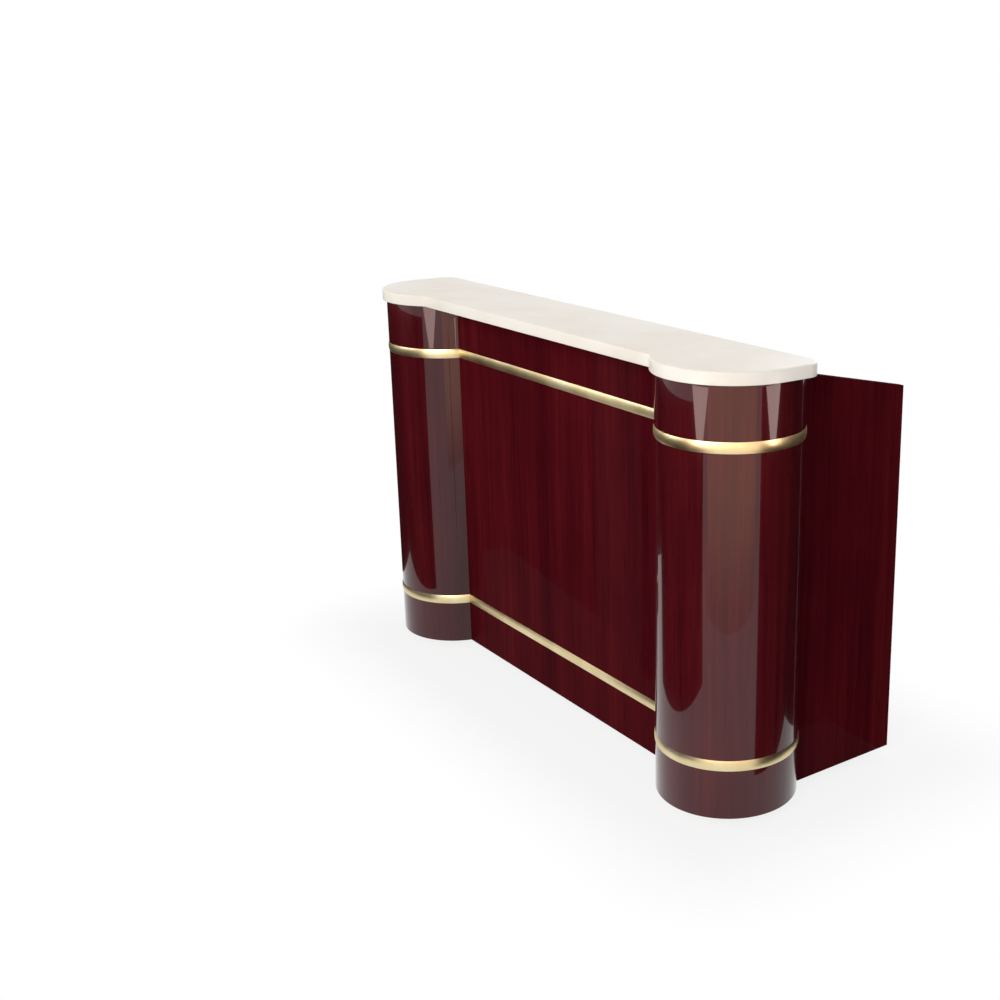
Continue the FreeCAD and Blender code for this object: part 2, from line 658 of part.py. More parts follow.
def make_cover():
    cover_left = bin_x[0] - cover_lap
    cover_x = (cover_left, cover_left + d.cover_length)
    cover_foot = bin_rim + d.rest_gap
    cover_up = (cover_foot, cover_foot + d.cover_thick)
    slab = block("cover_slab", cover_x, grown(bin_y, cover_lap), cover_up)
    guide_x = grown(cover_x, -(cover_lap + d.sheet * 2 + d.cover_guide_gap))
    guide_up = (bin_rim - d.cover_guide_drop, cover_foot)
    guide_in = d.sheet + d.cover_guide_gap
    near_y = (bin_y[0] + guide_in, bin_y[0] + guide_in + d.cover_guide)
    far_y = (bin_y[1] - guide_in - d.cover_guide, bin_y[1] - guide_in)
    guides = [
        block("cover_guide_near", guide_x, near_y, guide_up),
        block("cover_guide_far", guide_x, far_y, guide_up),
    ]
    slot_middle = (cover_left + d.cover_length / 2, drain_at[1])
    slot_reach = (d.cover_slot_length - d.cover_slot_width) / 2
    slot_radius = d.cover_slot_width / 2
    through = (0, d.bar_height)
    slot_x = (slot_middle[0] - slot_reach, slot_middle[0] + slot_reach)
    slot = join("cover_slot", [
        block("cover_slot_bar", slot_x, (slot_middle[1] - slot_radius, slot_middle[1] + slot_radius), through),
        disc("cover_slot_left", slot_x[0], slot_middle[1], slot_radius, through),
        disc("cover_slot_right", slot_x[1], slot_middle[1], slot_radius, through),
    ])
    keep(cut("ice_bin_cover", join("cover_blank", [slab, *guides]), slot))


def even_row(low, high, margin, bar, count):
    """Start, length and pitch of equal gaps with bars between them and margins at both ends."""
    length = (high - low - margin * 2 - bar * (count - 1)) / count
    return low + margin, length, length + bar


def make_rack(name, middle, level):
    """An open rack with slotted walls and a lattice floor."""
    body = doc.addObject("PartDesign::Body", name)
    wide = (d.rack_width / -2, d.rack_width / 2)
    deep = (d.rack_depth / -2, d.rack_depth / 2)
    pad(body, rectangle(body, "plan", "XY_Plane", wide, deep), d.rack_height)
    room_sketch = rectangle(body, "room", "XY_Plane", grown(wide, -d.rack_wall), grown(deep, -d.rack_wall),
                            lift=d.rack_floor)
    room = body.newObject("PartDesign::Pocket", f"{name}_room_pocket")
    room.Profile = room_sketch
    room.Type = "ThroughAll"
    room.Reversed = True
    slot_rise = (d.rack_height - d.slot_first - d.slot_rim - d.slot_height) / d.slot_rows
    for plane, (low, high) in (("XZ_Plane", wide), ("YZ_Plane", deep)):
        first, slot_length, slot_pitch = even_row(low, high, d.slot_margin, d.slot_post, d.slot_columns)
        single_v = (d.slot_first, d.slot_first + d.slot_height)
        single = rectangle(body, f"single_{plane[:2]}", plane, (slot_length / -2, slot_length / 2), single_v)
        pocket_through(body, single)
        row_v = (single_v[0] + slot_rise, single_v[1] + slot_rise)
        slot_sketch = rectangle(body, f"slot_{plane[:2]}", plane, (first, first + slot_length), row_v)
        slot = pocket_through(body, slot_sketch)
        repeat_grid(body, slot_sketch, slot, (slot_pitch, d.slot_columns), (slot_rise, d.slot_rows))
    holes = []
    steps = []
    for low, high in (wide, deep):
        first, hole_length, hole_pitch = even_row(low, high, d.lattice_margin, d.lattice_bar, d.lattice_count)
        holes.append((first, first + hole_length))
        steps.append((hole_pitch, d.lattice_count))
    hole_sketch = rectangle(body, "lattice", "XY_Plane", *holes)
    hole = pocket_through(body, hole_sketch)
    repeat_grid(body, hole_sketch, hole, *steps)
    rack_y = front_inside + d.rack_back_gap + d.rack_depth / 2
    place(body, middle, rack_y, rack_foot(level) + d.rest_gap)
    keep(body)


def make_runners(bay_name, middle, levels):
    """Angle runners on both walls of a bay, one pair under each rack."""
    runner_y = (front_inside, rear - d.runner_inset)
    runners = []
    for level in range(levels):
        top = rack_foot(level)
        for side_name, side in SIDES.items():
            wall = bay / 2
            name = f"runner_{bay_name}_{level}_{side_name}"
            ledge_x = span(side, wall - d.runner_ledge, wall)
            leg_x = span(side, wall - d.runner_thick, wall)
            ledge = block(f"{name}_ledge", grown_to(ledge_x, middle), runner_y, (top - d.runner_thick, top))
            leg = block(f"{name}_leg", grown_to(leg_x, middle), runner_y, (top - d.runner_leg, top))
            runners.append(join(name, [ledge, leg]))
    keep(group(f"rack_runners_{bay_name}", runners))


def grown_to(limits, middle):
    """Limits moved from the bar's middle to a bay's middle."""
    return middle + limits[0], middle + limits[1]


# Five racks on runners: three in the middle bay and two in the right one.
def make_racks():
    stacks = [("middle", Size(0), MIDDLE_LEVELS), ("right", bay + d.divider, RIGHT_LEVELS)]
    count = 0
    for bay_name, middle, levels in stacks:
        make_runners(bay_name, middle, levels)
        for level in range(levels):
            count += 1
            make_rack(f"rack_{count}", middle, level)


# Casters: a plate with the swivel's pin, a fork, an axle, a wheel and on two of them a pedal brake.
def make_plates():
    pin_foot = crown_foot - d.rest_gap - d.swivel_head_length
    plates = []
    for index, x, y, _ in caster_places():
        name = f"caster_plate_{index}"
        plate_x = grown((x, x), d.plate_length / 2)
        plate_y = grown((y, y), d.plate_width / 2)
        flat = block(f"{name}_flat", plate_x, plate_y, (plate_foot, caster_height))
        holes = []
        for hole, (owner, spot) in enumerate(plate_screw_places(), start=1):
            if owner == index:
                radius = d.plate_screw_radius + d.fixed_fit
                holes.append(disc(f"{name}_hole_{hole}", *spot, radius, (0, d.bar_height)))
        plates.append(join(name, [
            cut(f"{name}_drilled", flat, *holes),
            disc(f"{name}_pin", x, y, d.swivel_pin, (pin_foot, plate_foot)),
            disc(f"{name}_head", x, y, d.swivel_head, (pin_foot, pin_foot + d.swivel_head_length)),
        ]))
    keep(group("caster_plates", plates))
    screws = []
    for index, (_, spot) in enumerate(plate_screw_places(), start=1):
        name = f"plate_screw_{index}"
        head_up = (plate_foot - d.plate_screw_head_length, plate_foot)
        shank_up = (head_up[0], caster_height + d.plate_screw_depth)
        screws.append(join(name, [
            disc(f"{name}_shank", *spot, d.plate_screw_radius, shank_up),
            disc(f"{name}_head", *spot, d.plate_screw_head, head_up),
        ]))
    keep(group("caster_screws", screws))


def make_fork(index, x, y, braked):
    body = doc.addObject("PartDesign::Body", f"caster_fork_{index}")
    axle_y = d.caster_trail
    fork_rear = pivot_back + d.brake_pin + d.fork_wall
    cheek = [
        (-d.fork_front, crown_top),
        (-d.fork_front, pivot_height),
        (axle_y - d.fork_toe, d.wheel_radius - d.fork_toe),
        (axle_y + d.fork_toe, d.wheel_radius - d.fork_toe),
        (fork_rear, crown_foot - d.fork_shoulder),
        (fork_rear, crown_top),
    ]
    pad(body, outline(body, "cheek", "YZ_Plane", cheek), leg_outside * 2, both_ways=True)
    pocket_through(body, rectangle(body, "wheel_room", "XZ_Plane", (-leg_inside, leg_inside), (0, crown_foot)))
    pad(body, ring_sketch(body, "race", "XY_Plane", 0, 0, d.race_radius, lift=crown_top), d.race_height)
    pin_radius = d.swivel_pin + d.running_fit
    pocket_through(body, ring_sketch(body, "pin_hole", "XY_Plane", 0, 0, pin_radius))
    axle_hole = d.axle_radius + d.fixed_fit
    tip = pocket_through(body, ring_sketch(body, "axle_hole", "YZ_Plane", axle_y, d.wheel_radius, axle_hole))
    if braked:
        pin_hole = d.brake_pin + d.fixed_fit
        tip = pocket_through(body, ring_sketch(body, "pedal_hole", "YZ_Plane", pivot_back, pivot_height, pin_hole))
    body.Tip = tip
    place(body, x, y, 0)
    keep(body)


def make_axle(index, x, y):
    name = f"caster_axle_{index}"
    spot = {"y": y + d.caster_trail, "z": d.wheel_radius}
    ends = (x - leg_outside, x + leg_outside)
    head_x = (ends[0] - d.axle_head_length, ends[0])
    nut_x = (ends[1], ends[1] + d.axle_head_length)
    keep(join(name, [
        rod(f"{name}_shank", "x", (head_x[0], nut_x[1]), d.axle_radius, **spot),
        rod(f"{name}_head", "x", head_x, d.axle_head, **spot),
        rod(f"{name}_nut", "x", nut_x, d.axle_head, **spot),
    ]))


def make_wheel(index, x, y):
    """A wheel turned about X, thinner between its hub and its rim."""
    body = doc.addObject("PartDesign::Body", f"caster_wheel_{index}")
    bore = d.axle_radius + d.running_fit
    hub = leg_inside - d.hub_side_gap
    web = d.wheel_web / 2
    tread = d.wheel_width / 2
    shoulder = d.wheel_radius - d.wheel_chamfer
    one_side = [(hub, bore), (hub, wheel_hub), (web, wheel_hub), (web, wheel_rim), (tread, wheel_rim),
                (tread, shoulder), (tread - d.wheel_chamfer, d.wheel_radius)]
    other_side = [(-u, v) for u, v in reversed(one_side)]
    turning = body.newObject("PartDesign::Revolution", f"{body.Name}_turning")
    turning.Profile = outline(body, "section", "XY_Plane", one_side + other_side)
    axis = [item for item in body.Origin.OriginFeatures if item.Role == "X_Axis"][0]
    turning.ReferenceAxis = (axis, [""])
    turning.Angle = 360
    body.Tip = turning
    place(body, x, y + d.caster_trail, d.wheel_radius)
    keep(body)


def make_brake(index, x, y):
    """A pedal on a pin between the fork's legs, with a shoe over the tread."""
    name = f"caster_brake_{index}"
    wide = grown((x, x), leg_inside - d.brake_side_gap)
    pivot_y = y + pivot_back
    arm_up = grown((pivot_height, pivot_height), d.brake_metal / 2)
    toe_y = (pivot_y + d.brake_length - d.brake_toe, pivot_y + d.brake_length)
    shoe_y = (pivot_y + d.brake_shoe_set, pivot_y + d.brake_shoe_set + d.brake_shoe_length)
    shoe_foot = d.wheel_radius + leg_of(d.wheel_radius + d.brake_gap, d.brake_pivot_back + d.brake_shoe_set)
    blank = join(f"{name}_blank", [
        block(f"{name}_arm", wide, (pivot_y, toe_y[1]), arm_up),
        rod(f"{name}_barrel", "x", wide, brake_barrel, y=pivot_y, z=pivot_height),
        block(f"{name}_shoe", wide, shoe_y, (shoe_foot, arm_up[1])),
        block(f"{name}_toe", wide, toe_y, (arm_up[0], arm_up[1] + d.brake_toe_rise)),
    ])
    pin_x = grown((x, x), leg_outside)
    hole = rod(f"{name}_hole", "x", pin_x, d.brake_pin + d.running_fit, y=pivot_y, z=pivot_height)
    keep(cut(name, blank, hole))
    keep(rod(f"caster_brake_pin_{index}", "x", pin_x, d.brake_pin, y=pivot_y, z=pivot_height))


def make_casters():
    make_plates()
    for index, x, y, braked in caster_places():
        make_fork(index, x, y, braked)
        make_axle(index, x, y)
        make_wheel(index, x, y)
        if braked:
            make_brake(index, x, y)


def write_parts():
    """Check every object and every sub-part, then write one file for each sub-part."""
    doc.recompute()
    for item in doc.Objects:
        if {"Invalid", "Error"} & set(item.State):
            raise RuntimeError(f"{item.Label} failed: {item.State}")
    for piece in pieces:
        if piece.Shape.isNull() or not piece.Shape.isValid() or not piece.Shape.Solids:
            raise RuntimeError(f"{piece.Label} has no valid shape")
    os.makedirs("parts", exist_ok=True)
    for piece in pieces:
        piece.Shape.exportStep(f"parts/{piece.Label}.step")
        print(f"{piece.Label}: {len(piece.Shape.Solids)} solids, {piece.Shape.Volume / 1000:.1f} cm3")


make_case()
make_deck()
make_columns(block("case_space", (-half, half), (front, rear), (0, d.bar_height)))
make_counter()
make_work_area()
make_ice_bin()
make_racks()
make_casters()
write_parts()
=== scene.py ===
import json
import math

import bmesh
import bpy
from mathutils import Matrix, Vector


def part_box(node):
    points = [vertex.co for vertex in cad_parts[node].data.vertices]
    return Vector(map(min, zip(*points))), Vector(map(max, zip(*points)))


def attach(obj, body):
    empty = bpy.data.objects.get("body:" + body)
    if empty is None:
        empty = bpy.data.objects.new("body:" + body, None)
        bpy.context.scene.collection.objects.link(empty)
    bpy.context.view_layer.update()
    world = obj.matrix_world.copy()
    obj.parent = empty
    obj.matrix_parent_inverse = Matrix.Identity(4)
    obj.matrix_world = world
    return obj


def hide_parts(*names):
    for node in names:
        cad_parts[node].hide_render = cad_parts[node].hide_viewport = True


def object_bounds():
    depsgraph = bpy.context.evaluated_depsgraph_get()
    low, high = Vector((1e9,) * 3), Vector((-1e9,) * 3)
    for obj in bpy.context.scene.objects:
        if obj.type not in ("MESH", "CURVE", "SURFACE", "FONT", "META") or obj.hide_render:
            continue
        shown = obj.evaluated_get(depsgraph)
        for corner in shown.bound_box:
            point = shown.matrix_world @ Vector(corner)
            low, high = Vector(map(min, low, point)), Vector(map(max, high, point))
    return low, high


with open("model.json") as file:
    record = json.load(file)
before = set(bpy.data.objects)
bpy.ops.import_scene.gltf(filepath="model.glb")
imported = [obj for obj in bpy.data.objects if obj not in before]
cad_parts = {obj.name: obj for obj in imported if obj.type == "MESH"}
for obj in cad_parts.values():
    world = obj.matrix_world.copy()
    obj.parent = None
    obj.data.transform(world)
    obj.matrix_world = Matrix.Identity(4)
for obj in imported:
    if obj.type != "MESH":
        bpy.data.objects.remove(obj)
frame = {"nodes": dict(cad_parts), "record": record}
cad_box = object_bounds()
record = frame["record"]
SLOT_OF = {item["node"]: item["material_slot"] for item in record["subparts"]}
BODY_OF = {node: body for body, nodes in record["behaviour"]["bodies"].items() for node in nodes}
SIDES = {"left": -1, "right": 1}
MERGE_DISTANCE = 1e-6
WHITE = (1, 1, 1, 1)


# Shader maths

class Wire:
    """A socket that can stand in a Python expression."""

    def __init__(self, network, socket):
        self.network = network
        self.socket = socket

    def maths(self, operation, *values):
        return self.network.node("ShaderNodeMath", {"operation": operation}, dict(enumerate(values)))

    def __add__(self, other):
        return self.maths("ADD", self, other)

    def __sub__(self, other):
        return self.maths("SUBTRACT", self, other)

    def __mul__(self, other):
        return self.maths("MULTIPLY", self, other)

    def __pow__(self, other):
        return self.maths("POWER", self, other)

    def __rsub__(self, other):
        return self.maths("SUBTRACT", other, self)

    __radd__ = __add__
    __rmul__ = __mul__

    def outside(self, reach):
        """How far a place is past a reach to both sides of 0."""
        return self.maths("MAXIMUM", self.maths("ABSOLUTE", self) - reach, 0.0)

    def within(self, low, high):
        """0 at low and below, 1 at high and above, with a soft step between."""
        inputs = {"Value": self, "From Min": low, "From Max": high}
        return self.network.node("ShaderNodeMapRange", {"interpolation_type": "SMOOTHSTEP"}, inputs)


class Network:
    """The nodes of one finish or one form."""

    tree = None

    def node(self, kind, settings=None, inputs=None, output=0):
        """Add a node: its settings come first, then a value, a link or a list of links for each socket."""
        made = self.tree.nodes.new(kind)
        for key, value in (settings or {}).items():
            if key == "stops":
                set_stops(made.color_ramp, value)
            else:
                setattr(made, key, value)
        for key, value in (inputs or {}).items():
            socket = made.inputs[key]
            for item in value if isinstance(value, list) else [value]:
                if isinstance(item, Wire):
                    self.tree.links.new(item.socket, socket)
                else:
                    socket.default_value = item
        return Wire(self, made.outputs[output]) if made.outputs else None


class Finish(Network):
    """One material, with the nodes that make it."""

    # The Mix node's sockets for colours share their names with others, so they go by number.
    MIX_FIRST = 6
    MIX_SECOND = 7
    MIX_RESULT = 2

    def __init__(self, name):
        self.material = bpy.data.materials.new(name)
        self.material.use_nodes = True
        self.tree = self.material.node_tree
        self.tree.nodes.clear()

    def place(self):
        """Object coordinates, which are the part's own frame, in metres."""
        return self.node("ShaderNodeTexCoord", output="Object")

    def axes(self):
        """Object coordinates as three values."""
        split = self.node("ShaderNodeSeparateXYZ", inputs={"Vector": self.place()})
        outputs = split.socket.node.outputs
        return [Wire(self, outputs[axis]) for axis in "XYZ"]

    def stretched(self, x, y, z):
        """Object coordinates with each axis scaled, for grain and brushing."""
        return self.node("ShaderNodeMapping", inputs={"Vector": self.place(), "Scale": (x, y, z)})

    def noise(self, vector, scale=1.0, detail=3.0, roughness=0.5, distortion=0.0):
        inputs = {"Vector": vector, "Scale": scale, "Detail": detail, "Roughness": roughness,
                  "Distortion": distortion}
        return self.node("ShaderNodeTexNoise", inputs=inputs)

    def ramp(self, value, *stops):
        """A colour from stops, each a value and its colour."""
        return self.node("ShaderNodeValToRGB", {"stops": stops}, {"Fac": value})

    def blend(self, factor, first, second):
        inputs = {"Factor": factor, self.MIX_FIRST: first, self.MIX_SECOND: second}
        return self.node("ShaderNodeMix", {"data_type": "RGBA"}, inputs, output=self.MIX_RESULT)

    def bump(self, height, strength, distance):
        inputs = {"Height": height, "Strength": strength, "Distance": distance}
        return self.node("ShaderNodeBump", inputs=inputs)

    def surface(self, **sockets):
        """The shader itself; sockets are named with underscores for spaces."""
        inputs = {key.replace("_", " "): value for key, value in sockets.items()}
        return self.close(self.node("ShaderNodeBsdfPrincipled", inputs=inputs))

    def close(self, shader):
        self.node("ShaderNodeOutputMaterial", inputs={"Surface": shader})
        return self.material


def set_stops(ramp, stops):
    while len(ramp.elements) < len(stops):
        ramp.elements.new(1.0)
    for element, (position, colour) in zip(ramp.elements, stops):
        element.position = position
        element.color = colour


def srgb(red, green, blue):
    """A colour as seen on screen, 0 to 255, in linear light."""
    def linear(level):
        level /= 255
        return level / 12.92 if level <= 0.04045 else ((level + 0.055) / 1.055) ** 2.4

    return (linear(red), linear(green), linear(blue), 1.0)


# Finishes

# How far grain and brushing are drawn out, and the laminate's two degrees of gloss.
GRAIN_STRETCH = 0.045
BRUSHED_ALONG = 4
BRUSHED_ACROSS = 700
SATIN = 0.03
LACQUER = 1.0


def mahogany(name, along, gloss):
    """Dark red wood-grain laminate; along is the grain's axis, gloss from satin 0 to lacquer 1."""
    finish = Finish(name)
    run = [GRAIN_STRETCH if axis == along else 1.0 for axis in "xyz"]

    def grain(level, upright, **settings):
        """Noise drawn out along the grain, with one scale for level axes and one for the upright."""
        vector = finish.stretched(run[0] * level, run[1] * level, run[2] * upright)
        return finish.noise(vector, **settings)

    broad = grain(9, 9, detail=3, distortion=0.6)
    fine = grain(70, 45, detail=4, roughness=0.6)
    pores = grain(420, 260, detail=2)
    cloud = finish.noise(finish.place(), scale=3.5, detail=2)
    figure = broad * 0.5 + fine * 0.42 + cloud * 0.18
    tone = finish.ramp(figure, (0.34, srgb(44, 5, 11)), (0.5, srgb(66, 9, 17)), (0.62, srgb(77, 14, 20)),
                       (0.78, srgb(94, 24, 26)))
    pore = pores.within(0.6, 0.72)
    colour = finish.blend(pore * 0.45, tone, srgb(30, 4, 8))
    roughness = 0.42 - 0.22 * gloss + 0.08 * cloud
    normal = finish.bump(fine * 0.6 - pore, strength=0.12 - 0.08 * gloss, distance=0.0004)
    return finish.surface(Base_Color=colour, Roughness=roughness, Normal=normal, Coat_Weight=0.8 * gloss,
                          Coat_Roughness=0.04, Specular_IOR_Level=0.05 * gloss)


def brass():
    """Polished brass, a little smeared, with faint lines from the draw bench."""
    finish = Finish("polished_brass")
    smear = finish.noise(finish.place(), scale=14, detail=4)
    lines = finish.noise(finish.stretched(6, 6, 900), detail=2)
    colour = finish.ramp(smear, (0.3, srgb(222, 200, 150)), (0.55, srgb(233, 216, 170)),
                         (0.75, srgb(241, 229, 192)))
    roughness = 0.3 + 0.1 * smear + 0.05 * lines
    normal = finish.bump(lines, strength=0.05, distance=0.0002)
    return finish.surface(Base_Color=colour, Metallic=1.0, Roughness=roughness, Normal=normal)


def cream_stone():
    """Cream solid surface with soft clouds and darker specks."""
    finish = Finish("cream_solid_surface")
    speck = finish.noise(finish.place(), scale=420, detail=2)
    cloud = finish.noise(finish.place(), scale=5, detail=4)
    clouded = finish.ramp(cloud, (0.32, srgb(238, 228, 214)), (0.55, srgb(244, 237, 226)),
                          (0.75, srgb(248, 242, 233)))
    colour = finish.blend(speck.within(0.64, 0.72) * 0.25, clouded, srgb(206, 192, 172))
    roughness = 0.3 + 0.12 * cloud
    normal = finish.bump(speck, strength=0.03, distance=0.0002)
    return finish.surface(Base_Color=colour, Roughness=roughness, Normal=normal, Specular_IOR_Level=0.35)


def stainless(name, along, metallic=1.0):
    """Brushed sheet; below 1, metallic gives the softer sheen of a glass-beaded inside."""
    finish = Finish(name)
    run = [BRUSHED_ALONG if axis == along else BRUSHED_ACROSS for axis in "xyz"]
    brushing = finish.noise(finish.stretched(*run), detail=3, roughness=0.7)
    smear = finish.noise(finish.place(), scale=6, detail=4)
    scuffs = finish.noise(finish.stretched(40, 55, 35), detail=5, distortion=1.2).within(0.58, 0.74)
    sheen = brushing * 0.6 + smear * 0.4
    colour = finish.ramp(sheen, (0.3, srgb(176, 178, 181)), (0.5, srgb(200, 202, 204)),
                         (0.7, srgb(216, 218, 219)))
    roughness = 0.3 + 0.12 * smear + 0.04 * scuffs
    normal = finish.bump(brushing, strength=0.12, distance=0.0002)
    return finish.surface(Base_Color=colour, Metallic=metallic, Roughness=roughness, Normal=normal)


def moulded(name, dark, light, roughness, texture=500.0, depth=0.06):
    """Plain moulded plastic or rubber with a fine skin and faint colour drift."""
    finish = Finish(name)
    skin = finish.noise(finish.place(), scale=texture, detail=2)
    drift = finish.noise(finish.place(), scale=7, detail=3)
    scuffs = finish.noise(finish.stretched(60, 70, 50), detail=5, distortion=1.5).within(0.62, 0.72)
    drifting = finish.ramp(drift, (0.3, dark), (0.7, light))
    colour = finish.blend(scuffs * 0.18, drifting, light)
    worn = roughness + 0.1 * drift + 0.1 * scuffs
    normal = finish.bump(skin, strength=depth, distance=0.0003)
    return finish.surface(Base_Color=colour, Roughness=worn, Normal=normal)


def plywood():
    """Plain board: grain on its faces and layers at its edges."""
    finish = Finish("plywood")
    layers = finish.noise(finish.stretched(4, 4, 420), detail=2)
    grain = finish.noise(finish.stretched(6, 90, 90), detail=4)
    colour = finish.ramp(grain * 0.6 + layers * 0.4, (0.3, srgb(150, 112, 70)), (0.5, srgb(182, 142, 94)),
                         (0.7, srgb(204, 168, 120)))
    normal = finish.bump(grain, strength=0.15, distance=0.0005)
    return finish.surface(Base_Color=colour, Roughness=0.6 + 0.15 * grain, Normal=normal)


def plated(name, dark, light, metallic, roughness):
    """Zinc plating, or paint on steel where metallic is 0."""
    finish = Finish(name)
    spangle = finish.noise(finish.place(), scale=160, detail=3)
    drift = finish.noise(finish.place(), scale=22, detail=3)
    colour = finish.ramp(spangle * 0.5 + drift * 0.5, (0.35, dark), (0.65, light))
    normal = finish.bump(spangle, strength=0.04, distance=0.0002)
    worn = roughness + 0.18 * drift
    return finish.surface(Base_Color=colour, Metallic=metallic, Roughness=worn, Normal=normal)


PANEL = mahogany("mahogany_panel", along="z", gloss=SATIN)
RAIL = mahogany("mahogany_rail", along="x", gloss=SATIN)
COLUMN = mahogany("mahogany_column", along="z", gloss=LACQUER)
BIN_LINER = stainless("satin_stainless", along="z", metallic=0.25)
FINISHES = {
    "mahogany": PANEL,
    "board": plywood(),
    "brass": brass(),
    "cream_surface": cream_stone(),
    "stainless": stainless("brushed_stainless", along="x"),
    "foam": moulded("rigid_foam", srgb(206, 196, 150), srgb(226, 218, 178), roughness=0.85, texture=300,
                    depth=0.3),
    "drain_plastic": moulded("drain_plastic", srgb(34, 34, 36), srgb(52, 52, 54), roughness=0.4),
    "white_board": moulded("white_board", srgb(226, 223, 228), srgb(240, 238, 241), roughness=0.4,
                           texture=900, depth=0.1),
    "rack_plastic": moulded("rack_plastic", srgb(164, 180, 190), srgb(190, 204, 211), roughness=0.42,
                            texture=700, depth=0.05),
    "zinc": plated("zinc_plate", srgb(150, 152, 156), srgb(192, 194, 198), metallic=1.0, roughness=0.3),
    "brake_steel": plated("black_paint", srgb(18, 18, 20), srgb(34, 34, 37), metallic=0.0, roughness=0.35),
    "wheel_rubber": moulded("wheel_rubber", srgb(46, 46, 48), srgb(66, 66, 69), roughness=0.55,
                            texture=260, depth=0.12),
}


# Forms

SMALL_CORNER_STEPS = 4
RACK_CORNER_STEPS = 6
CROWN_STEPS = 13
QUARTER = math.pi / 2


class Form(Network):
    """A shape whose sizes are the named inputs of its own Geometry Nodes tree."""

    def __init__(self, name, lengths, counts=()):
        self.tree = bpy.data.node_groups.new(name, "GeometryNodeTree")
        self.tree.is_modifier = True
        kinds = {"seed": "NodeSocketGeometry", "finish": "NodeSocketMaterial"}
        kinds.update({key: "NodeSocketFloat" for key in lengths})
        kinds.update({key: "NodeSocketInt" for key in counts})
        for key, kind in kinds.items():
            self.tree.interface.new_socket(key, in_out="INPUT", socket_type=kind)
        self.tree.interface.new_socket("shape", in_out="OUTPUT", socket_type="NodeSocketGeometry")
        entry = self.tree.nodes.new("NodeGroupInput")
        self.sizes = {key: Wire(self, entry.outputs[key]) for key in kinds}

    def vector(self, x, y, z):
        return self.node("ShaderNodeCombineXYZ", inputs={"X": x, "Y": y, "Z": z})

    def line(self, start, end):
        return self.node("GeometryNodeCurvePrimitiveLine", inputs={"Start": start, "End": end})

    def rounded_plan(self, width, height, corner, corner_steps=SMALL_CORNER_STEPS):
        """A rectangle with round corners, as a closed curve."""
        sides = {"Width": width, "Height": height}
        plain = self.node("GeometryNodeCurvePrimitiveQuadrilateral", inputs=sides)
        inputs = {"Curve": plain, "Count": corner_steps, "Radius": corner}
        return self.node("GeometryNodeFilletCurve", {"mode": "POLY"}, inputs)

    def crowned_strip(self, thick, height):
        """A strip's section, flat behind and crowned in front, as a closed curve."""
        back = thick * -0.5
        inputs = {"Resolution": CROWN_STEPS, "Start": self.vector(back, height * -0.5, 0),
                  "Middle": self.vector(thick * 0.5, 0, 0), "End": self.vector(back, height * 0.5, 0)}
        arc = self.node("GeometryNodeCurveArc", {"mode": "POINTS"}, inputs)
        return self.node("GeometryNodeSetSplineCyclic", inputs={"Geometry": arc, "Cyclic": True})

    def filled(self, path, section):
        inputs = {"Curve": path, "Profile Curve": section, "Fill Caps": True}
        return self.node("GeometryNodeCurveToMesh", inputs=inputs)

    def swept(self, path, section):
        """A section carried along a level path, with its width pointing away from the path's middle."""
        upright = self.node("GeometryNodeSetCurveNormal", {"mode": "Z_UP"}, {"Curve": path})
        return self.filled(upright, section)

    def prism(self, plan, low, high):
        """A plan carried straight up between two heights."""
        return self.filled(self.line(self.vector(0, 0, low), self.vector(0, 0, high)), plan)

    def moved(self, shape, x=0.0, y=0.0, z=0.0, turn=(0.0, 0.0, 0.0)):
        inputs = {"Geometry": shape, "Translation": self.vector(x, y, z), "Rotation": turn}
        return self.node("GeometryNodeTransform", inputs=inputs)

    def real(self, shape):
        return self.node("GeometryNodeRealizeInstances", inputs={"Geometry": shape})

    def grid(self, shape, pitch_x, pitch_y, count_x, count_y):
        """A shape repeated over a level grid round the origin."""
        inputs = {"Size X": pitch_x * (count_x - 1), "Size Y": pitch_y * (count_y - 1),
                  "Vertices X": count_x, "Vertices Y": count_y}
        points = self.node("GeometryNodeMeshGrid", inputs=inputs)
        copies = self.node("GeometryNodeInstanceOnPoints", inputs={"Points": points, "Instance": shape})
        return self.real(copies)

    def joined(self, *shapes):
        return self.node("GeometryNodeJoinGeometry", inputs={"Geometry": list(shapes)})

    def carved(self, shape, cutter):
        inputs = {"Mesh 1": shape, "Mesh 2": cutter}
        return self.node("GeometryNodeMeshBoolean", {"operation": "DIFFERENCE", "solver": "EXACT"}, inputs)

    def close(self, shape):
        inputs = {"Geometry": self.real(shape), "Material": self.sizes["finish"]}
        self.node("NodeGroupOutput", inputs={"shape": self.node("GeometryNodeSetMaterial", inputs=inputs)})
        return self


def hoop_form(crowned):
    """A section carried round part of a circle, for the columns and their crowned bands."""
    form = Form("hoop", ["radius", "wall", "height", "edge", "start", "sweep", "x", "y", "z"], ["steps"])
    size = form.sizes
    inputs = {"Resolution": size["steps"], "Radius": size["radius"], "Start Angle": size["start"],
              "Sweep Angle": size["sweep"]}
    arc = form.node("GeometryNodeCurveArc", {"mode": "RADIUS"}, inputs)
    if crowned:
        section = form.crowned_strip(size["wall"], size["height"])
    else:
        section = form.rounded_plan(size["wall"], size["height"], size["edge"])
    return form.close(form.moved(form.swept(arc, section), size["x"], size["y"], size["z"]))


def strip_form():
    """A crowned strip along X, for the brass on the front panel."""
    form = Form("strip", ["length", "thick", "height", "y", "z"])
    size = form.sizes
    line = form.line(form.vector(size["length"] * -0.5, 0, 0), form.vector(size["length"] * 0.5, 0, 0))
    strip = form.swept(line, form.crowned_strip(size["thick"], size["height"]))
    return form.close(form.moved(strip, 0.0, size["y"], size["z"]))


# How far a rack's thin walls stand back from its beads, as a share of a bead's rounding.
SKIN_SHARE = 0.2


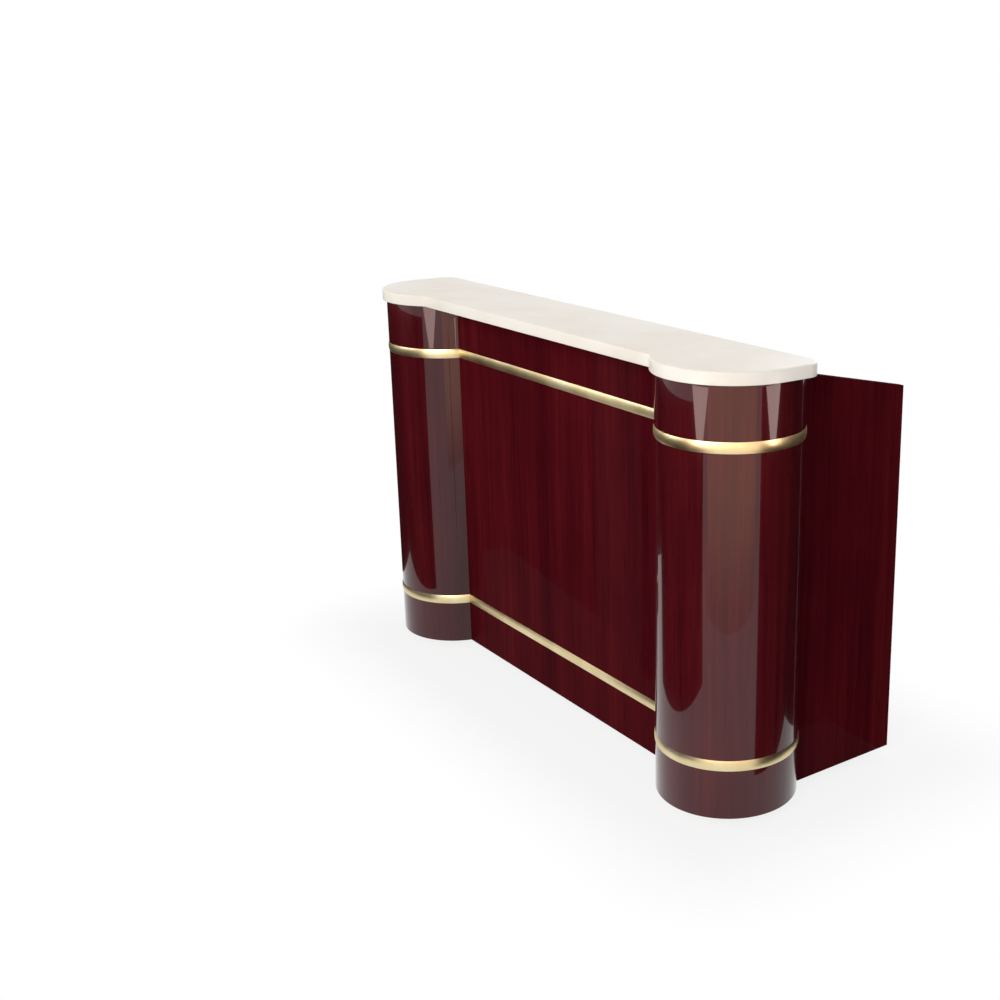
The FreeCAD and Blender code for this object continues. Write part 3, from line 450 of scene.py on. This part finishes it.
def rack_form():
    """A moulded rack: thin walls between two beads, slots through the walls and a lattice floor."""
    lengths = ["width", "depth", "height", "wall", "bead", "bead_height", "floor", "corner", "slot_length",
               "slot_height", "slot_corner", "slot_pitch", "slot_rise", "slot_middle", "hole", "hole_corner",
               "hole_pitch", "x", "y", "z"]
    form = Form("rack", lengths, ["slot_columns", "slot_rows", "holes"])
    size = form.sizes

    def plan(inset):
        width = size["width"] - inset * 2
        depth = size["depth"] - inset * 2
        return form.rounded_plan(width, depth, size["corner"] - inset, RACK_CORNER_STEPS)

    skin = size["bead"] * SKIN_SHARE
    walls = form.prism(plan(skin), skin, size["height"] - skin)
    room = form.prism(plan(size["wall"] - skin * 0.5), size["floor"], size["height"] * 2)
    body = form.carved(walls, room)
    slot_plan = form.rounded_plan(size["slot_length"], size["slot_height"], size["slot_corner"])
    slot = form.prism(slot_plan, size["depth"] * -1.0, size["depth"])
    rows = form.grid(slot, size["slot_pitch"], size["slot_rise"], size["slot_columns"], size["slot_rows"])
    rows_up = size["slot_middle"] + size["slot_rise"] * (size["slot_rows"] + 1) * 0.5
    for heading in (0.0, QUARTER):
        for cutter, up in ((rows, rows_up), (slot, size["slot_middle"])):
            body = form.carved(body, form.moved(cutter, z=up, turn=(QUARTER, 0.0, heading)))
    hole_plan = form.rounded_plan(size["hole"], size["hole"], size["hole_corner"])
    hole = form.prism(hole_plan, size["height"] * -1.0, size["height"])
    lattice = form.grid(hole, size["hole_pitch"], size["hole_pitch"], size["holes"], size["holes"])
    body = form.carved(body, lattice)
    bead_section = form.rounded_plan(size["wall"], size["bead_height"], size["bead"])
    bead = form.swept(plan(size["wall"] * 0.5), bead_section)
    low = form.moved(bead, z=size["bead_height"] * 0.5)
    high = form.moved(bead, z=size["height"] - size["bead_height"] * 0.5)
    return form.close(form.moved(form.joined(body, low, high), size["x"], size["y"], size["z"]))


def rows_form():
    """Its own seed shape in rows, and those rows repeated at wider places, for screws."""
    form = Form("rows", ["pitch_x", "pitch_y", "spread_x", "spread_y", "y", "z"],
                ["count_x", "count_y", "columns", "rows"])
    size = form.sizes
    group = form.grid(size["seed"], size["pitch_x"], size["pitch_y"], size["count_x"], size["count_y"])
    groups = form.grid(group, size["spread_x"], size["spread_y"], size["columns"], size["rows"])
    return form.close(form.moved(groups, 0.0, size["y"], size["z"]))


# Pieces

# Angles in degrees: an edge of a new shape is sharp past the first, and one of an eased shape past the
# second. A node's edge flatter than the third is dissolved, and one past the fourth is rounded.
NEW_SHARP_ANGLE = 35
EASED_SHARP_ANGLE = 20
FLAT_ANGLE = 0.5
ROUNDED_ANGLE = 30
ROUNDING_SEGMENTS = 2


def corners(node):
    low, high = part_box(node)
    return Vector(low), Vector(high)


def middle_and_size(node):
    low, high = corners(node)
    return (low + high) / 2, high - low


def nodes_of(slot):
    return [node for node, node_slot in SLOT_OF.items() if node_slot == slot]


def merge(shape):
    bmesh.ops.remove_doubles(shape, verts=shape.verts, dist=MERGE_DISTANCE)


def point_outwards(shape):
    bmesh.ops.recalc_face_normals(shape, faces=shape.faces)


def mesh_object(name, shape, sharp_angle=NEW_SHARP_ANGLE):
    """An object from a bmesh, smooth but for edges sharper than the angle and those marked before."""
    for face in shape.faces:
        face.smooth = True
    for edge in shape.edges:
        if edge.calc_face_angle(math.pi) > math.radians(sharp_angle):
            edge.smooth = False
    mesh = bpy.data.meshes.new(name)
    shape.to_mesh(mesh)
    shape.free()
    piece = bpy.data.objects.new(name, mesh)
    bpy.context.scene.collection.objects.link(piece)
    return piece


def grown(name, form, finish, seed=None, **sizes):
    """The shape that a form gives at these sizes, as a bmesh with its faces pointing outwards."""
    holder = bpy.data.objects.new(name, seed or bpy.data.meshes.new(f"{name}_seed"))
    bpy.context.scene.collection.objects.link(holder)
    modifier = holder.modifiers.new("form", "NODES")
    modifier.node_group = form.tree
    sizes["finish"] = finish
    for item in form.tree.interface.items_tree:
        if item.in_out == "INPUT" and item.name in sizes:
            modifier[item.identifier] = sizes[item.name]
    ready = holder.evaluated_get(bpy.context.evaluated_depsgraph_get())
    mesh = bpy.data.meshes.new_from_object(ready)
    holder.modifiers.remove(modifier)
    bpy.data.objects.remove(holder)
    shape = bmesh.new()
    shape.from_mesh(mesh)
    bpy.data.meshes.remove(mesh)
    merge(shape)
    point_outwards(shape)
    return shape


def hand_over(piece, nodes, finish=None):
    """Give a piece its finish and its body, in place of the nodes that it stands for."""
    slot = SLOT_OF[nodes[0]]
    piece.data.materials.clear()
    piece.data.materials.append(finish or FINISHES[slot])
    piece.data.polygons.foreach_set("material_index", [0] * len(piece.data.polygons))
    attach(piece, BODY_OF[nodes[0]])
    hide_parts(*nodes)


def merged_copy(node):
    shape = bmesh.new()
    shape.from_mesh(frame["nodes"][node].data)
    merge(shape)
    return shape


def eased(node, rounding, finish=None):
    """A node's own shape with its sharp edges rounded; its flat faces stay flat beside them."""
    shape = merged_copy(node)
    for edge in shape.edges:
        edge.smooth = True
    bmesh.ops.dissolve_limit(shape, angle_limit=math.radians(FLAT_ANGLE), verts=shape.verts,
                             edges=shape.edges)
    least = math.radians(ROUNDED_ANGLE)
    sharp = [edge for edge in shape.edges if len(edge.link_faces) == 2 and edge.calc_face_angle() > least]
    made = bmesh.ops.bevel(shape, geom=sharp, offset=rounding, segments=ROUNDING_SEGMENTS, profile=0.5,
                           affect="EDGES", clamp_overlap=True)
    round_faces = set(made["faces"])
    for edge in shape.edges:
        if len({face in round_faces for face in edge.link_faces}) == 2:
            edge.smooth = False
    hand_over(mesh_object(f"{node}_shape", shape, EASED_SHARP_ANGLE), [node], finish)


def rounded_outline(points, radii, steps=5):
    """The corners of a closed flat outline, each replaced by an arc of its radius."""
    found = []
    for index, (corner, radius) in enumerate(zip(points, radii)):
        corner = Vector(corner)
        before = (Vector(points[index - 1]) - corner).normalized()
        after = (Vector(points[(index + 1) % len(points)]) - corner).normalized()
        half = before.angle(after) / 2
        middle = corner + (before + after).normalized() * (radius / math.sin(half))
        start = corner + before * (radius / math.tan(half)) - middle
        turn = -before.angle_signed(after)
        swing = math.copysign(math.pi - abs(turn), turn)
        for step in range(steps + 1):
            found.append(middle + Matrix.Rotation(swing * step / steps, 2) @ start)
    return found


def turned(outline, steps=64):
    """A closed outline of places along X and radii, turned about the X axis."""
    shape = bmesh.new()
    ring = [shape.verts.new((along, 0, radius)) for along, radius in outline]
    edges = [shape.edges.new((ring[index - 1], ring[index])) for index in range(len(ring))]
    bmesh.ops.spin(shape, geom=ring + edges, cent=(0, 0, 0), axis=(1, 0, 0), angle=math.tau, steps=steps,
                   use_merge=True)
    merge(shape)
    point_outwards(shape)
    if shape.calc_volume(signed=True) < 0:
        bmesh.ops.reverse_faces(shape, faces=shape.faces)
    return shape


def skinned(layers):
    """A closed shape over rings of places, as a bmesh, and the face that closes its last ring."""
    shape = bmesh.new()
    rings = [[shape.verts.new(place) for place in layer] for layer in layers]
    for lower, upper in zip(rings, rings[1:]):
        for index in range(len(lower)):
            shape.faces.new((lower[index - 1], lower[index], upper[index], upper[index - 1]))
    shape.faces.new(rings[0])
    last = shape.faces.new(rings[-1])
    point_outwards(shape)
    return shape, last


# The columns stand over the case's front corners.
COLUMN_RADIUS = 0.185
COLUMN_WALL = 0.008
COLUMN_EDGE = 0.0015
COLUMN_STEPS = 144
BAND_GAP = 0.0001
CASE_FRONT = corners("front_panel")[0].y
CASE_SIDE = corners("end_panel_right")[1].x
COLUMN_X = corners("column_shell_right")[1].x - COLUMN_RADIUS
COLUMN_Y = corners("column_shell_right")[0].y + COLUMN_RADIUS


def column_arc(side, radius):
    """Where a hoop round a column leaves the case, and its sweep, anticlockwise from +X."""
    front_turn = math.asin((COLUMN_Y - CASE_FRONT) / radius)
    side_turn = math.acos((CASE_SIDE - COLUMN_X) / radius)
    start = math.pi + front_turn if side > 0 else math.pi - side_turn
    return start, math.pi + side_turn - front_turn


def dress_hoop(node, form, side, outside, wall, finish):
    """A column's shell or one of its bands."""
    middle, size = middle_and_size(node)
    start, sweep = column_arc(side, outside)
    shape = grown(node, form, finish, radius=outside - wall / 2, wall=wall, height=size.z, edge=COLUMN_EDGE,
                  start=start, sweep=sweep, x=COLUMN_X * side, y=COLUMN_Y, z=middle.z, steps=COLUMN_STEPS)
    hand_over(mesh_object(f"{node}_shape", shape), [node], finish)


def dress_columns():
    shell_form = hoop_form(crowned=False)
    band_form = hoop_form(crowned=True)
    for side_name, side in SIDES.items():
        dress_hoop(f"column_shell_{side_name}", shell_form, side, COLUMN_RADIUS, COLUMN_WALL, COLUMN)
        for level in ("upper", "lower"):
            node = f"column_band_{level}_{side_name}"
            outside = COLUMN_Y - corners(node)[0].y
            thick = outside - COLUMN_RADIUS - BAND_GAP
            dress_hoop(node, band_form, side, outside, thick, FINISHES["brass"])


def dress_strips():
    form = strip_form()
    for node in ("front_strip_upper", "front_strip_lower"):
        middle, size = middle_and_size(node)
        shape = grown(node, form, FINISHES["brass"], length=size.x, thick=size.y, height=size.z, y=middle.y,
                      z=middle.z)
        hand_over(mesh_object(f"{node}_shape", shape), [node])


# The counter's surface turns down over its edges and leaves room for the core.
COUNTER_EDGE = 0.005
COUNTER_FOOT_EDGE = 0.002
COUNTER_SKIN = 0.012
COUNTER_CORNER = 0.05
COUNTER_OVERHANG = 0.09
COUNTER_FRONT = CASE_FRONT - COUNTER_OVERHANG
COUNTER_STEPS = 56
CORNER_STEPS = 20
EDGE_STEPS = 6


def arc_places(middle, radius, first, last, steps):
    """Places along a flat arc, from one angle to another."""
    angles = [first + (last - first) * step / steps for step in range(steps + 1)]
    along, up = middle
    return [(along + radius * math.cos(angle), up + radius * math.sin(angle)) for angle in angles]


def counter_outline(inset):
    """The counter's plan, drawn inside its edge: round over the columns and at its rear corners."""
    high = corners("counter_top")[1]
    radius = high.x - COLUMN_X - inset
    corner = COUNTER_CORNER - inset
    front_turn = math.asin((COLUMN_Y - COUNTER_FRONT - inset) / radius)
    right = arc_places((COLUMN_X, COLUMN_Y), radius, math.pi + front_turn, math.tau, COUNTER_STEPS)
    corner_middle = (high.x - inset - corner, high.y - inset - corner)
    right += arc_places(corner_middle, corner, 0.0, QUARTER, CORNER_STEPS)
    return right + [(-x, y) for x, y in reversed(right)]


def dress_counter():
    """The counter's surface over levels from inside it to its top: each one's inset and height."""
    low, high = corners("counter_top")
    levels = [(COUNTER_SKIN, high.z - COUNTER_SKIN), (COUNTER_SKIN, low.z)]
    foot_middle = (COUNTER_FOOT_EDGE, low.z + COUNTER_FOOT_EDGE)
    levels += arc_places(foot_middle, COUNTER_FOOT_EDGE, math.pi + QUARTER, math.pi, EDGE_STEPS)
    top_middle = (COUNTER_EDGE, high.z - COUNTER_EDGE)
    levels += arc_places(top_middle, COUNTER_EDGE, math.pi, QUARTER, EDGE_STEPS)
    shape, top = skinned([(x, y, z) for x, y in counter_outline(inset)] for inset, z in levels)
    for edge in top.edges:
        edge.smooth = False
    hand_over(mesh_object("counter_top_shape", shape), ["counter_top"])


# The racks are all alike: one moulding, carried to each place.
RACK = {
    "wall": 0.004, "bead": 0.0016, "bead_height": 0.007, "floor": 0.004, "corner": 0.014,
    "slot_length": 0.12, "slot_height": 0.016, "slot_corner": 0.004, "slot_pitch": 0.145, "slot_rise": 0.033,
    "slot_middle": 0.066, "slot_columns": 3, "slot_rows": 3,
    "hole": 0.06, "hole_corner": 0.006, "hole_pitch": 0.076, "holes": 6,
}


def dress_racks():
    form = rack_form()
    for node in nodes_of("rack_plastic"):
        middle, size = middle_and_size(node)
        foot = corners(node)[0].z
        shape = grown(node, form, FINISHES["rack_plastic"], width=size.x, depth=size.y, height=size.z,
                      x=middle.x, y=middle.y, z=foot, **RACK)
        hand_over(mesh_object(f"{node}_shape", shape), [node])


# Half of a wheel's outline from its bore to its tread: place along the axle, radius and corner's rounding.
WHEEL_SIDE = [
    (0.0175, 0.00505, 0.0004), (0.0175, 0.014, 0.0012), (0.007, 0.0145, 0.0025), (0.007, 0.037, 0.0025),
    (0.016, 0.038, 0.0006), (0.016, 0.0405, 0.0004), (0.0152, 0.0408, 0.0002), (0.0152, 0.0416, 0.0002),
    (0.016, 0.0419, 0.0004), (0.016, 0.05, 0.006),
]


def dress_wheels():
    section = WHEEL_SIDE + [(-along, radius, rounding) for along, radius, rounding in reversed(WHEEL_SIDE)]
    outline = rounded_outline([point[:2] for point in section], [point[2] for point in section])
    for node in nodes_of("wheel_rubber"):
        middle, _ = middle_and_size(node)
        shape = turned(outline)
        bmesh.ops.translate(shape, vec=middle, verts=shape.verts)
        hand_over(mesh_object(f"{node}_shape", shape), [node])


# A screw's rings from its far end to the floor of its socket: place along its axis from under the head,
# reach and whether the ring is a hexagon.
RAIL_SCREW = [
    (-0.005, 0.0025, False), (-0.005, 0.0043, True), (-0.002, 0.0043, True), (-0.002, 0.0025, False),
    (0.0, 0.0025, False), (0.0, 0.005, False), (0.0011, 0.005, False), (0.0023, 0.0042, False),
    (0.003, 0.0028, False), (0.003, 0.0017, True), (0.0014, 0.0017, True),
]
RAIL_SCREW_PITCH = 0.1725
RAIL_SPREAD = 1.038
PLATE_SCREW_HEAD = 0.0065
PLATE_SCREW = [
    (-0.018, 0.0008, False), (-0.013, 0.0034, False), (0.0, 0.0035, False), (0.0, PLATE_SCREW_HEAD, False),
    (0.0015, PLATE_SCREW_HEAD, False), (0.003, 0.0055, False), (0.004, 0.0038, False), (0.004, 0.0023, True),
    (0.002, 0.0023, True),
]
CASTER_SPREAD = (1.367, 0.288)
SCREW_STEPS = 24
HEXAGON_TURN = math.pi / 3


def head_height(rings):
    return max(along for along, _, _ in rings)


def screw(rings, heading):
    """A screw whose rings follow one heading, its head's underside at the origin, as a mesh."""
    aim = Vector(heading).to_track_quat("X", "Y").to_matrix()
    layers = []
    for along, reach, hexagon in rings:
        layer = []
        for step in range(SCREW_STEPS):
            angle = math.tau * step / SCREW_STEPS
            from_flat = angle % HEXAGON_TURN - HEXAGON_TURN / 2
            radius = reach / math.cos(from_flat) if hexagon else reach
            layer.append(aim @ Vector((along, radius * math.cos(angle), radius * math.sin(angle))))
        layers.append(layer)
    shape, _ = skinned(layers)
    seed = bpy.data.meshes.new("screw_seed")
    shape.to_mesh(seed)
    shape.free()
    return seed


def dress_screws():
    form = rows_form()
    middle, _ = middle_and_size("rail_screws")
    head_top = corners("rail_screws")[1].y
    shape = grown("rail_screws", form, FINISHES["stainless"], screw(RAIL_SCREW, (0, 1, 0)),
                  pitch_x=RAIL_SCREW_PITCH, pitch_y=0.0, spread_x=RAIL_SPREAD, spread_y=0.0,
                  y=head_top - head_height(RAIL_SCREW), z=middle.z, count_x=3, count_y=1, columns=2, rows=1)
    hand_over(mesh_object("rail_screws_shape", shape), ["rail_screws"])
    middle, size = middle_and_size("caster_screws")
    head_foot = corners("caster_screws")[0].z
    plate = [size[axis] - CASTER_SPREAD[axis] - PLATE_SCREW_HEAD * 2 for axis in (0, 1)]
    shape = grown("caster_screws", form, FINISHES["zinc"], screw(PLATE_SCREW, (0, 0, -1)), pitch_x=plate[0],
                  pitch_y=plate[1], spread_x=CASTER_SPREAD[0], spread_y=CASTER_SPREAD[1], y=middle.y,
                  z=head_foot + head_height(PLATE_SCREW), count_x=2, count_y=2, columns=2, rows=2)
    hand_over(mesh_object("caster_screws_shape", shape), ["caster_screws"])


# How much the edges of the other nodes are rounded.
PANEL_ROUNDING = 0.0012
RAIL_ROUNDING = 0.001
ROUNDINGS = {"stainless": 0.0005, "zinc": 0.0008, "white_board": 0.002, "brake_steel": 0.001}
OTHER_ROUNDING = 0.0006


def dress_case():
    for node in ("front_panel", "end_panel_left", "end_panel_right", "divider_left", "divider_right"):
        eased(node, PANEL_ROUNDING)
    # The rails, deck and cupboard top take the rail laminate. The cleats take it in place of their own
    # plywood so that their ends at the rear read as a dark gap, which is painted shade.
    for node in ("base_rail", "cupboard_rail", "base_deck", "cupboard_top", "rail_cleats"):
        eased(node, RAIL_ROUNDING, RAIL)


def dress_liner():
    """The ice bin's sheets touch one another, so they keep their own edges."""
    shape = merged_copy("ice_bin_liner")
    hand_over(mesh_object("ice_bin_liner_shape", shape), ["ice_bin_liner"], BIN_LINER)


def dress_rest():
    """Every node that has no piece of its own yet."""
    for node, slot in SLOT_OF.items():
        if not frame["nodes"][node].hide_render:
            eased(node, ROUNDINGS.get(slot, OTHER_ROUNDING))


# Stage, light and camera

FLOOR_SIZE = 40
FLOOR_GREY = (0.66, 0.66, 0.66, 1)
# The floor's own white near the bar, which is full past the reach of the bar's shadow.
FLOOR_LIFT = 0.84
SHADOW_REACH = 0.4
WORLD_STRENGTH = 0.45


def seen_rays(network):
    """1 for rays from the camera, from glossy surfaces and through glass, and 0 for light's own bounces."""
    camera = network.node("ShaderNodeLightPath", output="Is Camera Ray")
    outputs = camera.socket.node.outputs
    glossy = Wire(network, outputs["Is Glossy Ray"])
    through = Wire(network, outputs["Is Transmission Ray"])
    return camera.maths("MAXIMUM", camera.maths("MAXIMUM", camera, glossy), through)


def build_floor():
    """A pale floor that is white round the bar's shadow."""
    bpy.ops.mesh.primitive_plane_add(size=FLOOR_SIZE)
    floor = bpy.context.object
    floor.name = "floor"
    finish = Finish("pale_floor")
    x, y, _ = finish.axes()
    beyond_x = x.outside(cad_box[1][0])
    beyond_y = y.outside(cad_box[1][1])
    distance = (beyond_x * beyond_x + beyond_y * beyond_y) ** 0.5
    lit = finish.node("ShaderNodeBsdfDiffuse", inputs={"Color": FLOOR_GREY})
    white = finish.node("ShaderNodeEmission", inputs={"Color": WHITE, "Strength": 1.0})
    lift = seen_rays(finish) * (FLOOR_LIFT + (1 - FLOOR_LIFT) * distance.within(0.0, SHADOW_REACH))
    mixed = finish.node("ShaderNodeMixShader", inputs={0: lift, 1: lit, 2: white})
    floor.data.materials.append(finish.close(mixed))


# Cards round the bar that only glossy surfaces show: each one's foot and top, and the places that it passes.
CARD_FOOT = 0.002
DARK_CARDS = [
    (CARD_FOOT, 1.05, [(0.944, -1.048), (0.0, -0.547)]),
    (CARD_FOOT, 1.1, [(-0.505, -0.722), (-1.35, -0.85), (-1.35, 0.31), (-0.822, 0.31)]),
    (CARD_FOOT, 1.12, [(1.08, -0.215), (1.08, 0.31), (0.822, 0.31)]),
]
DARK_COLOUR = (0.012, 0.01, 0.01, 1)
STREAKS = [
    (0.945, 1.12, [(0.758, -0.575), (0.884, -0.535)]),
    (0.945, 1.12, [(1.072, -0.185), (1.072, -0.05)]),
    (0.985, 1.15, [(-0.484, -0.714), (-0.299, -0.596)]),
]
STREAK_TAPER = 0.3
STREAK_COLOUR = (1.0, 0.78, 0.72, 1)
STREAK_STRENGTH = 6.0
WARM_CARD = [(1.25, -1.7), (2.4, -0.25)]
WARM_TOP = 1.6
WARM_FOOT_COLOUR = (0.45, 0.38, 0.35, 1)
WARM_TOP_COLOUR = (0.95, 0.68, 0.53, 1)
WARM_STRENGTH = 2.0
GLOW_RISE = 0.7


def card(name, places, foot, top, shade, taper=1.0):
    """An upright card along places on the floor; taper is its foot's share of its width."""
    middle = (Vector(places[0]) + Vector(places[-1])) / 2
    low = [(*(middle + (Vector(place) - middle) * taper), foot) for place in places]
    high = [(*place, top) for place in places]
    count = len(places)
    faces = [(index, index + 1, index + 1 + count, index + count) for index in range(count - 1)]
    mesh = bpy.data.meshes.new(name)
    mesh.from_pydata(low + high, [], faces)
    mesh.materials.append(shade)
    piece = bpy.data.objects.new(name, mesh)
    bpy.context.scene.collection.objects.link(piece)
    for ray in ("camera", "diffuse", "transmission", "volume_scatter", "shadow"):
        setattr(piece, f"visible_{ray}", False)


def glow(name, strength, foot_colour, top_colour):
    """A card's own light, from one colour at its foot to another near the counter."""
    finish = Finish(name)
    _, _, z = finish.axes()
    colour = finish.ramp(z.within(0.0, GLOW_RISE), (0.0, foot_colour), (1.0, top_colour))
    return finish.close(finish.node("ShaderNodeEmission", inputs={"Color": colour, "Strength": strength}))


def build_cards():
    """What the lacquer mirrors: dark to both sides of a warm light, with bright streaks near the counter."""
    black = Finish("black_card")
    black.close(black.node("ShaderNodeBsdfDiffuse", inputs={"Color": DARK_COLOUR}))
    for index, (foot, top, places) in enumerate(DARK_CARDS, start=1):
        card(f"dark_card_{index}", places, foot, top, black.material)
    streak = glow("bright_card", STREAK_STRENGTH, STREAK_COLOUR, STREAK_COLOUR)
    for index, (foot, top, places) in enumerate(STREAKS, start=1):
        card(f"bright_card_{index}", places, foot, top, streak, STREAK_TAPER)
    warm = glow("warm_card", WARM_STRENGTH, WARM_FOOT_COLOUR, WARM_TOP_COLOUR)
    card("warm_card", WARM_CARD, CARD_FOOT, WARM_TOP, warm)


def build_world():
    world = bpy.data.worlds.new("studio")
    bpy.context.scene.world = world
    world.use_nodes = True
    studio = Network()
    studio.tree = world.node_tree
    studio.tree.nodes.clear()
    soft = studio.node("ShaderNodeBackground", inputs={"Color": WHITE, "Strength": WORLD_STRENGTH})
    white = studio.node("ShaderNodeBackground", inputs={"Color": WHITE, "Strength": 1.0})
    mixed = studio.node("ShaderNodeMixShader", inputs={0: seen_rays(studio), 1: soft, 2: white})
    studio.node("ShaderNodeOutputWorld", inputs={"Surface": mixed})


def area_light(name, place, target, width, height, power):
    light = bpy.data.lights.new(name, "AREA")
    light.shape = "RECTANGLE"
    light.size = width
    light.size_y = height
    light.energy = power
    lamp = bpy.data.objects.new(name, light)
    lamp.location = place
    lamp.rotation_euler = (Vector(target) - Vector(place)).to_track_quat("-Z", "Y").to_euler()
    bpy.context.scene.collection.objects.link(lamp)


def build_lights():
    area_light("key", (2.6, -3.4, 2.3), target=(0.1, -0.2, 0.6), width=1.8, height=1.8, power=84)
    area_light("fill", (-2.2, -3.4, 2.0), target=(0, 0, 0.6), width=1.8, height=1.8, power=42)
    area_light("back", (-0.6, 3.4, 3.0), target=(0, 0, 0.7), width=3.4, height=2.4, power=95)


# The photograph's camera, solved from its straight edges; the image is taken to be 1000 pixels square.
CAMERA_PLACE = (3.2224, -2.2701, 1.8053)
CAMERA_PITCH = 15.98
CAMERA_TURN = 52.62
FOCAL_PIXELS = 1377.66
CENTRE_PIXELS = (675.53, 473.23)
IMAGE_PIXELS = 1000
SENSOR_MM = 36.0


def build_camera():
    lens = bpy.data.cameras.new("camera")
    lens.sensor_fit = "HORIZONTAL"
    lens.sensor_width = SENSOR_MM
    lens.lens = FOCAL_PIXELS / IMAGE_PIXELS * SENSOR_MM
    lens.shift_x = 0.5 - CENTRE_PIXELS[0] / IMAGE_PIXELS
    lens.shift_y = CENTRE_PIXELS[1] / IMAGE_PIXELS - 0.5
    camera = bpy.data.objects.new("camera", lens)
    camera.location = CAMERA_PLACE
    camera.rotation_euler = (math.radians(90 - CAMERA_PITCH), 0, math.radians(CAMERA_TURN))
    bpy.context.scene.collection.objects.link(camera)
    bpy.context.scene.camera = camera


dress_case()
dress_columns()
dress_strips()
dress_counter()
dress_racks()
dress_wheels()
dress_screws()
dress_liner()
dress_rest()
build_floor()
build_cards()
build_world()
build_lights()
build_camera()
bpy.context.scene.view_settings.view_transform = "Standard"
